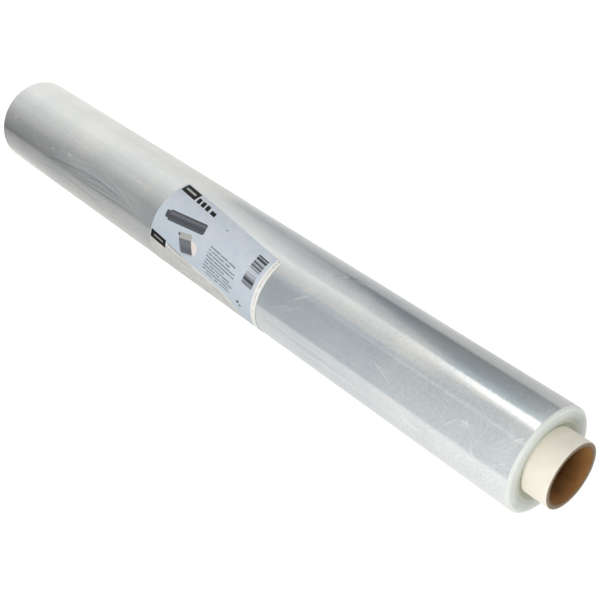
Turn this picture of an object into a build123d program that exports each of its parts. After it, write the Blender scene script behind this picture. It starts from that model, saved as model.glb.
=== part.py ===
"""Catering roll of cling film, standing on the end of its core.

Origin at the centre of the lower core end, +Z up along the roll, -Y towards the label side.
"""

import math
import os

from build123d import *

# Core tube
CORE_BORE_DIAMETER = 40.0
CORE_WALL = 3.75
CORE_PROUD = 17.0
CORE_EDGE_BREAK = 0.4

# Wound film
FILM_WIDTH = 600.0
FILM_DIAMETER = 76.0
FILM_ON_CORE_CLEARANCE = 0.05
RIM_EDGE_OVERHANG = 0.2
RIM_ROUND_SHARE = 0.18  # of the wound wall

# Free edge of the last turn, as the step that it makes along the roll
TAIL_STEP = 0.24
TAIL_AZIMUTH = 37.5

# Well beside the core on each end, where the inner turns lie deeper
WELL_DEPTH = 1.8
WELL_FLOOR_SHARE = 0.085  # of the wound wall
WELL_SHARE = 0.28  # of the wound wall
WELL_ROUND_RADIUS = 1.0

# Turns that show as a spiral on the flat of each end
TURN_PITCH = 0.92
TURN_GROOVE_WIDTH = 0.35
TURN_GROOVE_DEPTH = 0.4
TURNS_MARGIN = 0.25

# Label
LABEL_LENGTH = 130.0
LABEL_HEIGHT = 90.0
LABEL_THICKNESS = 0.12
LABEL_SKEW = 6.45
LABEL_AZIMUTH = -51.5
LABEL_SEAT_CLEARANCE = 0.05

# Derived sizes
CORE_BORE_RADIUS = CORE_BORE_DIAMETER / 2
CORE_RADIUS = CORE_BORE_RADIUS + CORE_WALL
CORE_LENGTH = FILM_WIDTH + 2 * CORE_PROUD
FILM_INNER_RADIUS = CORE_RADIUS + FILM_ON_CORE_CLEARANCE
FILM_RADIUS = FILM_DIAMETER / 2
FILM_BOTTOM = CORE_PROUD
FILM_TOP = FILM_BOTTOM + FILM_WIDTH
FILM_MIDDLE = (FILM_BOTTOM + FILM_TOP) / 2
WOUND_WALL = FILM_RADIUS - FILM_INNER_RADIUS
RIM_ROUND_RADIUS = RIM_ROUND_SHARE * WOUND_WALL
WELL_FLOOR_WIDTH = WELL_FLOOR_SHARE * WOUND_WALL
WELL_WIDTH = WELL_SHARE * WOUND_WALL
TURNS_INNER_RADIUS = FILM_INNER_RADIUS + WELL_WIDTH + WELL_ROUND_RADIUS / 2 + TURNS_MARGIN
TURNS_OUTER_RADIUS = FILM_RADIUS + RIM_EDGE_OVERHANG - RIM_ROUND_RADIUS - TURNS_MARGIN
TURNS_SHOWN = int((TURNS_OUTER_RADIUS - TURNS_INNER_RADIUS - TURN_GROOVE_WIDTH) / TURN_PITCH)


def spiral_half_turns(start_radius, pitch, half_turns):
    """Half circles about two centres in turn, which join smoothly into a spiral.

    The first starts on +X and runs anticlockwise. Returns the edges and the two ends on X.
    """
    shift = pitch / 4
    edges = []
    radius = start_radius + shift
    first_x = radius - shift
    here = first_x
    for index in range(half_turns):
        above = index % 2 == 0
        centre = -shift if above else shift
        side = 1 if above else -1
        there = centre - side * radius
        edges.append(ThreePointArc((here, 0), (centre, side * radius), (there, 0)))
        here = there
        radius += pitch / 2
    return edges, first_x, here


def spiral_ribbon(inner_radius, pitch, turns, width):
    """Flat face of a spiral ribbon of even width."""
    inner, inner_start, inner_end = spiral_half_turns(inner_radius, pitch, 2 * turns)
    outer, outer_start, outer_end = spiral_half_turns(inner_radius + width, pitch, 2 * turns)
    ends = [Line((inner_start, 0), (outer_start, 0)), Line((inner_end, 0), (outer_end, 0))]
    return make_face(inner + outer + ends)


def core_tube():
    """Wound board tube with its two cut ends lightly broken."""
    tube = Cylinder(CORE_RADIUS, CORE_LENGTH, align=(Align.CENTER, Align.CENTER, Align.MIN))
    tube -= Cylinder(CORE_BORE_RADIUS, CORE_LENGTH, align=(Align.CENTER, Align.CENTER, Align.MIN))
    return chamfer(tube.edges().filter_by(GeomType.CIRCLE), CORE_EDGE_BREAK)


def film_section():
    """Section across the roll: round bore, spiral outside with the step of the free edge."""
    start_radius = FILM_RADIUS - TAIL_STEP
    outline, start_x, end_x = spiral_half_turns(start_radius, TAIL_STEP, 2)
    step = Line((start_x, 0), (end_x, 0))
    return make_face(outline + [step]) - Circle(FILM_INNER_RADIUS)


def end_profile():
    """Half section, radius along X and height along Y, of what lies above the film's top end.

    The end is flat, with a well beside the core and a rim that rolls over.
    """
    floor = FILM_TOP - WELL_DEPTH
    inside = FILM_INNER_RADIUS - CORE_WALL
    outside = FILM_RADIUS + RIM_ROUND_RADIUS
    ceiling = FILM_TOP + RIM_ROUND_RADIUS
    rim_x = FILM_RADIUS + RIM_EDGE_OVERHANG - RIM_ROUND_RADIUS
    rim_y = FILM_TOP - RIM_ROUND_RADIUS
    well = FilletPolyline(
        (inside, floor),
        (FILM_INNER_RADIUS + WELL_FLOOR_WIDTH, floor),
        (FILM_INNER_RADIUS + WELL_WIDTH, FILM_TOP),
        (rim_x, FILM_TOP),
        radius=WELL_ROUND_RADIUS,
    )
    rim = CenterArc((rim_x, rim_y), RIM_ROUND_RADIUS, 90, -90)
    frame = Polyline(rim @ 1, (outside, rim_y), (outside, ceiling), (inside, ceiling), well @ 0)
    return make_face(well.edges() + rim.edges() + frame.edges())


def top_end_cut():
    """What is cut from a plain top end: well, rolled rim and the spiral between the turns."""
    shaping = revolve(Plane.XZ * end_profile(), Axis.Z)
    ribbon = spiral_ribbon(TURNS_INNER_RADIUS, TURN_PITCH, TURNS_SHOWN, TURN_GROOVE_WIDTH)
    grooves = extrude(ribbon, TURN_GROOVE_DEPTH + RIM_ROUND_RADIUS)
    return shaping + Pos(0, 0, FILM_TOP - TURN_GROOVE_DEPTH) * grooves


def film_roll():
    """All turns of film as one solid."""
    turn_to_tail = Rot(0, 0, TAIL_AZIMUTH)
    body = Pos(0, 0, FILM_BOTTOM) * extrude(film_section(), FILM_WIDTH)
    top_cut = top_end_cut()
    bottom_cut = mirror(top_cut, about=Plane.XY.offset(FILM_MIDDLE))
    return turn_to_tail * (body - top_cut - bottom_cut)


def beside(azimuth, height, tilt, side, reach):
    """Half of space beyond a lengthwise plane, tilted about the radius at azimuth and height."""
    across = Align.MIN if side > 0 else Align.MAX
    block = Box(reach, reach, reach, align=(Align.CENTER, across, Align.CENTER))
    return Pos(0, 0, height) * Rot(0, 0, azimuth) * Rot(tilt, 0, 0) * block


def beyond(azimuth, height, tilt, side, reach):
    """Half of space beyond a crosswise plane, tilted about the radius at azimuth and height."""
    upright = Align.MIN if side > 0 else Align.MAX
    block = Box(reach, reach, reach, align=(Align.CENTER, Align.CENTER, upright))
    return Pos(0, 0, height) * Rot(0, 0, azimuth) * Rot(tilt, 0, 0) * block


def label_sheet():
    """Rectangular sheet laid a little askew round the half turn that ends at the free edge.

    A plane across the roll bends away from a straight cut in the sheet, so it is tilted enough
    for the corners of the sheet to be where the straight cut has them.
    """
    seat_radius = FILM_RADIUS - TAIL_STEP / 4 + LABEL_SEAT_CLEARANCE
    seat_shift = TAIL_STEP / 4
    tail = math.radians(TAIL_AZIMUTH)
    skew = math.radians(LABEL_SKEW)
    half_span = LABEL_HEIGHT / 2 * math.cos(skew) / seat_radius
    half_drop = LABEL_HEIGHT / 2 * math.sin(skew)
    half_rise = LABEL_LENGTH / 2 * math.cos(skew)
    half_turn = LABEL_LENGTH / 2 * math.sin(skew) / seat_radius
    cross_tilt = math.degrees(math.atan(math.tan(skew) * half_span / math.sin(half_span)))
    reach = 2 * (LABEL_LENGTH + LABEL_HEIGHT)
    ring = Cylinder(seat_radius + LABEL_THICKNESS, reach / 2)
    ring -= Cylinder(seat_radius, reach / 2)
    sheet = Pos(0, 0, FILM_MIDDLE) * ring
    for side in (-1, 1):
        long_azimuth = LABEL_AZIMUTH + side * math.degrees(half_span)
        sheet -= beside(long_azimuth, FILM_MIDDLE - side * half_drop, -LABEL_SKEW, side, reach)
        short_azimuth = LABEL_AZIMUTH + side * math.degrees(half_turn)
        sheet -= beyond(short_azimuth, FILM_MIDDLE + side * half_rise, -cross_tilt, side, reach)
    return Pos(seat_shift * math.cos(tail), seat_shift * math.sin(tail), 0) * sheet


def main():
    """Build each piece and write it to its own file."""
    os.makedirs("parts", exist_ok=True)
    pieces = {"core_tube": core_tube(), "film_roll": film_roll(), "label": label_sheet()}
    for name, piece in pieces.items():
        export_step(piece, f"parts/{name}.step")


main()
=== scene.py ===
"""Looks of a catering roll of cling film that stands on the end of its core.

Film, core and label stand for the three CAD nodes. Lengths in the dataclasses are millimetres, and
meshes are made in metres in the CAD frame: origin at the lower core end, +Z up along the roll.
"""

import logging
import math
import random
from collections.abc import Callable, Sequence
from dataclasses import dataclass, field
from enum import Enum

import bmesh
import bpy
import numpy as np
from mathutils import Matrix, Vector


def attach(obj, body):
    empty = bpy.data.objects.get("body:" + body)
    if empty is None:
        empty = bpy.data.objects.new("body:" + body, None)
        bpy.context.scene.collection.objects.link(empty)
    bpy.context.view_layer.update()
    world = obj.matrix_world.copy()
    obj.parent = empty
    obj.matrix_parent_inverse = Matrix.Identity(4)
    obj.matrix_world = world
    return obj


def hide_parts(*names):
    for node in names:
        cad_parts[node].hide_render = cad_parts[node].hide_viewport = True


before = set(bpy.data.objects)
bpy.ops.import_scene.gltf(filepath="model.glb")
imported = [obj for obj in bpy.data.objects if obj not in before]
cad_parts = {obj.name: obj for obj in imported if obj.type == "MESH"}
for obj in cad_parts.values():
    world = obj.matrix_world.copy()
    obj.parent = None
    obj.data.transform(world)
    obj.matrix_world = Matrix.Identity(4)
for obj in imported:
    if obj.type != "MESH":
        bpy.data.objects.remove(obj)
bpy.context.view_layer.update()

MM = 0.001
ROOT_BODY = "root"
FULL_TURN = 360.0
BOW_CENTRE = 0.33  # part of its bow by which a crease is moved back to lie about its own place
FINEST_WELD = 0.0005  # mm
CREASE_SEED = 29
WHITE = (1.0, 1.0, 1.0)
CARD_LIFT = 0.003  # m

log = logging.getLogger("cling_film_roll")


class MaterialSlot(Enum):
    """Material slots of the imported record."""

    CORE = "core"
    FILM = "film"
    LABEL = "label"


# Work on meshes, as by hand


def deselect_all() -> None:
    """Leave edit mode and deselect every object."""
    if bpy.context.object and bpy.context.object.mode != "OBJECT":
        bpy.ops.object.mode_set(mode="OBJECT")
    bpy.ops.object.select_all(action="DESELECT")


def pick(piece: bpy.types.Object, *others: bpy.types.Object) -> None:
    """Select only these objects and make the first one active.

    Args:
        piece: Object that becomes active.
        others: Objects selected with it.
    """
    deselect_all()
    for each in (piece, *others):
        each.select_set(True)
    bpy.context.view_layer.objects.active = piece


def edit_vertices(piece: bpy.types.Object, wanted: Callable[[Vector], bool]) -> None:
    """Enter edit mode on a piece with only the wanted vertices selected.

    Args:
        piece: Mesh object.
        wanted: Test of a vertex's place, in metres.
    """
    pick(piece)
    bpy.ops.object.mode_set(mode="EDIT")
    bpy.ops.mesh.select_mode(type="VERT")
    bpy.ops.mesh.select_all(action="DESELECT")
    bpy.ops.object.mode_set(mode="OBJECT")
    for vertex in piece.data.vertices:
        vertex.select = wanted(vertex.co)
    bpy.ops.object.mode_set(mode="EDIT")
    bpy.ops.mesh.select_mode(type="EDGE")


def extrude_loop(scale: float, rise: float) -> None:
    """Extrude the selected loop about the roll's axis.

    Args:
        scale: Factor on the loop's radius.
        rise: Way up, in metres.
    """
    bpy.ops.mesh.extrude_edges_move(TRANSFORM_OT_translate={"value": (0.0, 0.0, rise)})
    bpy.ops.transform.resize(value=(scale, scale, 1.0), center_override=(0.0, 0.0, 0.0))


def ringed_band(
    name: str, rings: Sequence[tuple[float, float]], columns: int
) -> bpy.types.Object:
    """Model a band about the roll's axis by extruding a circle from ring to ring.

    Args:
        name: Name of the band.
        rings: Radius and height of each ring in millimetres.
        columns: Number of points in a ring.

    Returns:
        The band.
    """
    deselect_all()
    radius, height = rings[0]
    bpy.ops.mesh.primitive_circle_add(
        vertices=columns, radius=radius * MM, location=(0.0, 0.0, height * MM)
    )
    band = bpy.context.object
    band.name = name
    bpy.ops.object.transform_apply(location=True, rotation=True, scale=True)
    bpy.ops.object.mode_set(mode="EDIT")
    bpy.ops.mesh.select_mode(type="EDGE")
    bpy.ops.mesh.select_all(action="SELECT")
    for next_radius, next_height in rings[1:]:
        extrude_loop(next_radius / radius, (next_height - height) * MM)
        radius, height = next_radius, next_height
    bpy.ops.object.mode_set(mode="OBJECT")
    return band


def places(piece: bpy.types.Object) -> np.ndarray:
    """Read the places of a mesh's vertices.

    Args:
        piece: Mesh object.

    Returns:
        One row of x, y and z per vertex, in millimetres.
    """
    flat = np.zeros(len(piece.data.vertices) * 3)
    piece.data.vertices.foreach_get("co", flat)
    return flat.reshape(-1, 3) / MM


def set_places(piece: bpy.types.Object, rows: np.ndarray) -> None:
    """Write the places of a mesh's vertices.

    Args:
        piece: Mesh object.
        rows: One row of x, y and z per vertex, in millimetres.
    """
    piece.data.vertices.foreach_set("co", (rows * MM).ravel())
    piece.data.update()


def finish_mesh(piece: bpy.types.Object, merge: float, sharp_angle: float) -> None:
    """Merge doubles, turn all faces outwards and shade the mesh smooth but for sharp edges.

    Args:
        piece: Mesh object.
        merge: Merging distance in millimetres.
        sharp_angle: Angle in degrees above which an edge stays sharp.
    """
    pick(piece)
    bpy.ops.object.mode_set(mode="EDIT")
    bpy.ops.mesh.select_all(action="SELECT")
    bpy.ops.mesh.remove_doubles(threshold=merge * MM)
    bpy.ops.mesh.dissolve_degenerate(threshold=merge * MM)
    bpy.ops.mesh.select_all(action="SELECT")
    bpy.ops.mesh.normals_make_consistent(inside=False)
    bpy.ops.object.mode_set(mode="OBJECT")
    bpy.ops.object.shade_smooth_by_angle(angle=math.radians(sharp_angle))
    deselect_all()


def turned_angles(rows: np.ndarray) -> np.ndarray:
    """Angle of each place round the roll's axis.

    Args:
        rows: Places in millimetres.

    Returns:
        Angles in degrees, from 0 up to 360.
    """
    return np.mod(np.degrees(np.arctan2(rows[:, 1], rows[:, 0])), FULL_TURN)


def way_round(azimuths: np.ndarray, zero: float) -> np.ndarray:
    """Shortest way round from one azimuth to others.

    Args:
        azimuths: Azimuths in degrees.
        zero: Azimuth to start from.

    Returns:
        Angles in degrees, from -180 up to 180.
    """
    half_turn = FULL_TURN / 2.0
    return (azimuths - zero + half_turn) % FULL_TURN - half_turn


def smooth_step(values: np.ndarray, low: float, high: float) -> np.ndarray:
    """Rise smoothly from 0 at low to 1 at high.

    Args:
        values: Values to map.
        low: Value that gives 0.
        high: Value that gives 1.

    Returns:
        Mapped values.
    """
    share = np.clip((values - low) / (high - low), 0.0, 1.0)
    return share * share * (3.0 - 2.0 * share)


# Node trees


class Wiring:
    """Short ways to wire one material's node tree."""

    def __init__(self, name: str) -> None:
        """Make an empty material.

        Args:
            name: Name of the material.
        """
        self.material = bpy.data.materials.new(name)
        self.material.use_nodes = True
        self.tree = self.material.node_tree
        self.tree.nodes.clear()

    def node(self, kind: str, **settings: object) -> bpy.types.Node:
        """Add a node.

        Args:
            kind: Blender's name of the node type, without its ShaderNode prefix.
            settings: Properties to set on it.

        Returns:
            The node.
        """
        made = self.tree.nodes.new("ShaderNode" + kind)
        for key, value in settings.items():
            setattr(made, key, value)
        return made

    def feed(self, socket: bpy.types.NodeSocket, value: object) -> None:
        """Link an output to a socket, or set the socket to a constant.

        Args:
            socket: Input socket.
            value: Output socket, or a number, colour or vector.
        """
        if isinstance(value, bpy.types.NodeSocket):
            self.tree.links.new(value, socket)
        else:
            socket.default_value = value

    def math(
        self, operation: str, first: object, second: object = 0.0, clamp: bool = False
    ) -> bpy.types.NodeSocket:
        """Add a Math node.

        Args:
            operation: Name of the operation.
            first: First input.
            second: Second input.
            clamp: Whether the result is kept between 0 and 1.

        Returns:
            Its output.
        """
        made = self.node("Math", operation=operation, use_clamp=clamp)
        self.feed(made.inputs[0], first)
        self.feed(made.inputs[1], second)
        return made.outputs[0]

    def fade(
        self, value: object, low: float, high: float, start: float = 0.0, end: float = 1.0
    ) -> bpy.types.NodeSocket:
        """Add a smooth Map Range node.

        Args:
            value: Value to map.
            low: Value that gives start.
            high: Value that gives end.
            start: Result at low.
            end: Result at high.

        Returns:
            Its output.
        """
        made = self.node("MapRange", interpolation_type="SMOOTHSTEP")
        for index, part in enumerate((value, low, high, start, end)):
            self.feed(made.inputs[index], part)
        return made.outputs[0]

    def mix(self, factor: object, first: object, second: object) -> bpy.types.NodeSocket:
        """Mix two colours.

        Args:
            factor: Share of the second colour.
            first: First colour.
            second: Second colour.

        Returns:
            Mixed colour.
        """
        made = self.node("Mix", data_type="RGBA")
        self.feed(made.inputs["Factor"], factor)
        self.feed(made.inputs[6], first)
        self.feed(made.inputs[7], second)
        return made.outputs[2]

    def object_place(self) -> bpy.types.NodeSocket:
        """Return the object coordinates."""
        return self.node("TexCoord").outputs["Object"]

    def parts(self, vector: bpy.types.NodeSocket) -> tuple[bpy.types.NodeSocket, ...]:
        """Split a vector into its three parts.

        Args:
            vector: Vector output.

        Returns:
            Its x, y and z.
        """
        split = self.node("SeparateXYZ")
        self.feed(split.inputs[0], vector)
        return tuple(split.outputs)

    def axis_distance(self) -> bpy.types.NodeSocket:
        """Wire the distance from the roll's axis.

        Returns:
            Distance in metres.
        """
        x, y, _ = self.parts(self.object_place())
        squares = self.math("ADD", self.math("POWER", x, 2.0), self.math("POWER", y, 2.0))
        return self.math("SQRT", squares)

    def scaled(
        self, vector: bpy.types.NodeSocket, scale: Sequence[float]
    ) -> bpy.types.NodeSocket:
        """Scale a vector by a Mapping node.

        Args:
            vector: Vector output.
            scale: Factor for each axis.

        Returns:
            Scaled vector.
        """
        made = self.node("Mapping")
        self.feed(made.inputs["Vector"], vector)
        made.inputs["Scale"].default_value = scale
        return made.outputs[0]

    def noise(
        self, vector: object, scale: float, detail: float = 2.0, roughness: float = 0.5
    ) -> bpy.types.NodeSocket:
        """Add a Noise Texture node.

        Args:
            vector: Place to read the noise at.
            scale: Waves per unit length.
            detail: Finer layers.
            roughness: Strength of the finer layers.

        Returns:
            Noise from 0 to 1.
        """
        made = self.node("TexNoise")
        self.feed(made.inputs["Vector"], vector)
        made.inputs["Scale"].default_value = scale
        made.inputs["Detail"].default_value = detail
        made.inputs["Roughness"].default_value = roughness
        return made.outputs[0]

    def dot(self, vector: object, with_vector: Sequence[float]) -> bpy.types.NodeSocket:
        """Add a dot product with a fixed vector.

        Args:
            vector: Vector output.
            with_vector: The fixed vector.

        Returns:
            Its output.
        """
        made = self.node("VectorMath", operation="DOT_PRODUCT")
        self.feed(made.inputs[0], vector)
        made.inputs[1].default_value = with_vector
        return made.outputs["Value"]

    def bump(
        self, height: object, distance: float, strength: float = 1.0, below: object = None
    ) -> bpy.types.NodeSocket:
        """Add a Bump node.

        Args:
            height: Height from 0 to 1.
            distance: Height in metres that 1 stands for.
            strength: Strength of the bump.
            below: Normal from a bump below this one.

        Returns:
            Bumped normal.
        """
        made = self.node("Bump")
        made.inputs["Strength"].default_value = strength
        made.inputs["Distance"].default_value = distance
        self.feed(made.inputs["Height"], height)
        if below is not None:
            self.feed(made.inputs["Normal"], below)
        return made.outputs[0]

    def surface(self, **sockets: object) -> bpy.types.Material:
        """Add a Principled shader and finish the material with it.

        Args:
            sockets: Inputs by name, with _ for spaces.

        Returns:
            The material.
        """
        shader = self.node("BsdfPrincipled")
        for key, value in sockets.items():
            self.feed(shader.inputs[key.replace("_", " ")], value)
        output = self.node("OutputMaterial")
        self.feed(output.inputs["Surface"], shader.outputs[0])
        return self.material


class WorldWiring(Wiring):
    """The same short ways for the node tree of a world."""

    def __init__(self, name: str) -> None:
        """Make a world with an empty node tree.

        Args:
            name: Name of the world.
        """
        self.world = bpy.data.worlds.new(name)
        self.world.use_nodes = True
        self.tree = self.world.node_tree
        self.tree.nodes.clear()


def rgb(red: float, green: float, blue: float) -> tuple[float, float, float, float]:
    """Turn a display colour from 0 to 255 into Blender's linear colour.

    Args:
        red: Red part.
        green: Green part.
        blue: Blue part.

    Returns:
        Linear colour with full alpha.
    """
    linear = []
    for part in (red, green, blue):
        share = part / 255.0
        linear.append(share / 12.92 if share <= 0.04045 else ((share + 0.055) / 1.055) ** 2.4)
    return (*linear, 1.0)


# Finishes


@dataclass(frozen=True)
class FilmWallFinish:
    """Many clear turns seen through each other: silvery and glossy, milky in clouds and crinkles,
    with painted glints and painted shade along the creases' thin lines.
    """

    clear: tuple[float, ...] = rgb(214, 220, 223)
    milky: tuple[float, ...] = rgb(240, 242, 239)
    # Colour of the painted shade along dark crease lines
    shade: tuple[float, ...] = rgb(118, 122, 122)
    metallic: float = 0.75
    roughness: float = 0.165
    anisotropy: float = 0.6
    coat: float = 0.4
    coat_roughness: float = 0.06
    milky_reach: float = 0.2
    milk_range: tuple[float, float] = (0.58, 1.28)
    cloud_scale: float = 30.0
    streak_scale: float = 260.0
    mottle_scale: float = 620.0
    peel_scale: float = 210.0
    drawn_height: float = 0.0003
    peel_height: float = 0.00002
    mottle_height: float = 0.0000012
    crinkle_and_line_height: float = 0.00006
    crinkle_reach: float = 0.07
    crinkle_share: float = 0.3
    crinkle_scale: float = 380.0
    crinkle_wander_scale: float = 300.0
    crinkle_wander: float = 0.0018

    def material(
        self, near_end: float, radius: float, creases: Sequence["Crease"]
    ) -> bpy.types.Material:
        """Make the material.

        Args:
            near_end: Height of the top end in metres, near which the film is crinkled.
            radius: Radius of the film in millimetres.
            creases: Creases of which the thin line is drawn, as painted glint where bright and
                painted shade where dark.

        Returns:
            The material.
        """
        w = Wiring("film_wall")
        place = w.object_place()
        _, _, z = w.parts(place)
        bands = w.noise(w.scaled(place, (2.0, 2.0, 26.0)), 1.0, 3.0, 0.55)
        clouds = w.noise(w.scaled(place, (1.0, 1.0, 0.5)), self.cloud_scale, 2.0, 0.5)
        streaks = w.noise(w.scaled(place, (1.0, 1.0, 0.03)), self.streak_scale, 2.0, 0.5)
        mottle = w.noise(place, self.mottle_scale, 2.0, 0.6)
        nearness = w.fade(z, near_end - self.milky_reach, near_end)
        crinkled = w.fade(z, near_end - self.crinkle_reach, near_end)
        crinkles = self.crinkles(w, place, crinkled)
        lines = self.painted_crease_lines(w, place, radius, creases)
        grain = w.math("MULTIPLY", mottle, w.math("ADD", w.math("MULTIPLY", nearness, 0.5), 0.4))
        milk = w.math("ADD", w.math("MULTIPLY", bands, 0.5), w.math("MULTIPLY", clouds, 0.5))
        milk = w.math("ADD", milk, w.math("MULTIPLY", streaks, 0.25))
        milk = w.fade(w.math("ADD", milk, grain), *self.milk_range)
        crinkles = w.math("MULTIPLY", crinkles, self.crinkle_share)
        # Bright crease lines are painted glints, mixed with the crinkles into the milky colour.
        milk_and_glints = w.math("ADD", crinkles, lines, clamp=True)
        colour = w.mix(w.math("ADD", milk, milk_and_glints, clamp=True), self.clear, self.milky)
        # Dark crease lines are painted shade.
        shaded = w.math("SUBTRACT", 0.0, lines, clamp=True)
        colour = w.mix(shaded, colour, self.shade)
        metallic = w.math("SUBTRACT", self.metallic, w.math("MULTIPLY", milk_and_glints, 0.5))
        drawn = w.noise(w.scaled(place, (60.0, 60.0, 6.0)), 1.0, 3.0, 0.5)
        peel = w.noise(w.scaled(place, (1.0, 1.0, 0.6)), self.peel_scale, 2.0, 0.5)
        normal = w.bump(drawn, self.drawn_height, 0.25)
        normal = w.bump(peel, self.peel_height, 0.4, normal)
        normal = w.bump(mottle, self.mottle_height, 1.0, normal)
        normal = w.bump(milk_and_glints, self.crinkle_and_line_height, 0.7, normal)
        return w.surface(
            Base_Color=colour,
            Metallic=metallic,
            Roughness=self.roughness,
            Anisotropic=self.anisotropy,
            Anisotropic_Rotation=0.25,
            Coat_Weight=self.coat,
            Coat_Roughness=self.coat_roughness,
            Normal=normal,
        )

    def crinkles(
        self, w: Wiring, place: bpy.types.NodeSocket, nearness: bpy.types.NodeSocket
    ) -> bpy.types.NodeSocket:
        """Wire short thin crinkles, which are dense only near the top end.

        Args:
            w: Wiring of the material.
            place: Object coordinates.
            nearness: 1 at the top end and 0 away from it.

        Returns:
            1 along a crinkle and 0 beside it.
        """
        wander = w.node("TexNoise")
        w.feed(wander.inputs["Vector"], place)
        wander.inputs["Scale"].default_value = self.crinkle_wander_scale
        shift = w.node("VectorMath", operation="MULTIPLY_ADD")
        w.feed(shift.inputs[0], wander.outputs["Color"])
        shift.inputs[1].default_value = (self.crinkle_wander,) * 3
        w.feed(shift.inputs[2], place)
        cells = w.node("TexVoronoi", feature="DISTANCE_TO_EDGE")
        w.feed(cells.inputs["Vector"], shift.outputs[0])
        cells.inputs["Scale"].default_value = self.crinkle_scale
        line = w.fade(cells.outputs["Distance"], 0.0, 0.13, 1.0, 0.0)
        patches = w.noise(place, self.crinkle_wander_scale, 2.0, 0.6)
        reach = w.math("ADD", w.math("MULTIPLY", nearness, 0.13), patches)
        return w.math("MULTIPLY", line, w.fade(reach, 0.64, 0.82))

    def painted_crease_lines(
        self,
        w: Wiring,
        place: bpy.types.NodeSocket,
        radius: float,
        creases: Sequence["Crease"],
    ) -> bpy.types.NodeSocket:
        """Wire the thin line of each crease, too fine for the mesh: a painted glint where it is
        bright and painted shade where it is dark.

        Args:
            w: Wiring of the material.
            place: Object coordinates.
            radius: Radius of the film in millimetres.
            creases: Creases to draw.

        Returns:
            Brightness of the lines' painted glints, below 0 where they are painted shade.
        """
        x, y, z = w.parts(place)
        laid = w.node("CombineXYZ")
        w.feed(laid.inputs[0], w.math("MULTIPLY", w.math("ARCTAN2", y, x), radius))
        w.feed(laid.inputs[1], w.math("DIVIDE", z, MM))
        laid.inputs[2].default_value = 1.0
        total: object = 0.0
        for crease in creases:
            slant = math.radians(crease.slant)
            across = math.radians(crease.azimuth) * radius
            along = (math.cos(slant), math.sin(slant))
            side = (-math.sin(slant), math.cos(slant))
            half = crease.length / 2.0
            start = -(across * along[0] + crease.height * along[1]) / half
            share = w.dot(laid.outputs[0], (along[0] / half, along[1] / half, start))
            start = -(across * side[0] + crease.height * side[1])
            off = w.dot(laid.outputs[0], (*side, start - BOW_CENTRE * crease.bow))
            square = w.math("MULTIPLY", share, share)
            off = w.math("ADD", off, w.math("MULTIPLY", square, crease.bow))
            off = w.math("DIVIDE", off, crease.line)
            fall = w.math("ADD", w.math("MULTIPLY", off, off), w.math("MULTIPLY", square, square))
            line = w.math("POWER", 1.0 / math.e, fall)
            total = w.math("ADD", total, w.math("MULTIPLY", line, crease.white))
        return total


@dataclass(frozen=True)
class FilmEndFinish:
    """Cut edges of the turns: milky, faintly green, with light that sinks in, and painted shade
    that darkens them towards the well at the core.
    """

    rim: tuple[float, ...] = rgb(234, 238, 232)
    # Colour at the core, where the well's painted shade is deepest
    well: tuple[float, ...] = rgb(163, 169, 150)
    roughness: float = 0.4
    rim_margin: float = 0.002
    ring_scale: float = 2600.0
    ring_height: float = 0.00006
    cloud_height: float = 0.0003
    sink_depth: float = 0.003

    def material(self, inner: float, outer: float) -> bpy.types.Material:
        """Make the material.

        Args:
            inner: Radius of the winding's bore in metres.
            outer: Its outer radius in metres.

        Returns:
            The material.
        """
        w = Wiring("film_end")
        place = w.object_place()
        radius = w.axis_distance()
        # Painted shade: the end darkens from its rim in towards the core and its well.
        outwards = w.fade(radius, inner, outer - self.rim_margin)
        rings = w.node("TexNoise", noise_dimensions="1D")
        w.feed(rings.inputs["W"], w.math("MULTIPLY", radius, self.ring_scale))
        rings.inputs["Detail"].default_value = 3.0
        cloud = w.noise(place, 90.0, 3.0, 0.6)
        shade = w.math("ADD", w.math("MULTIPLY", rings.outputs[0], 0.28), outwards)
        shade = w.math("ADD", shade, w.math("MULTIPLY", cloud, 0.25))
        colour = w.mix(w.fade(shade, 0.1, 1.3), self.well, self.rim)
        normal = w.bump(rings.outputs[0], self.ring_height, 0.6)
        normal = w.bump(cloud, self.cloud_height, 0.3, normal)
        return w.surface(
            Base_Color=colour,
            Roughness=self.roughness,
            Subsurface_Weight=0.35,
            Subsurface_Radius=(1.0, 1.0, 0.9),
            Subsurface_Scale=self.sink_depth,
            Coat_Weight=0.15,
            Coat_Roughness=0.25,
            Normal=normal,
        )


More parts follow.
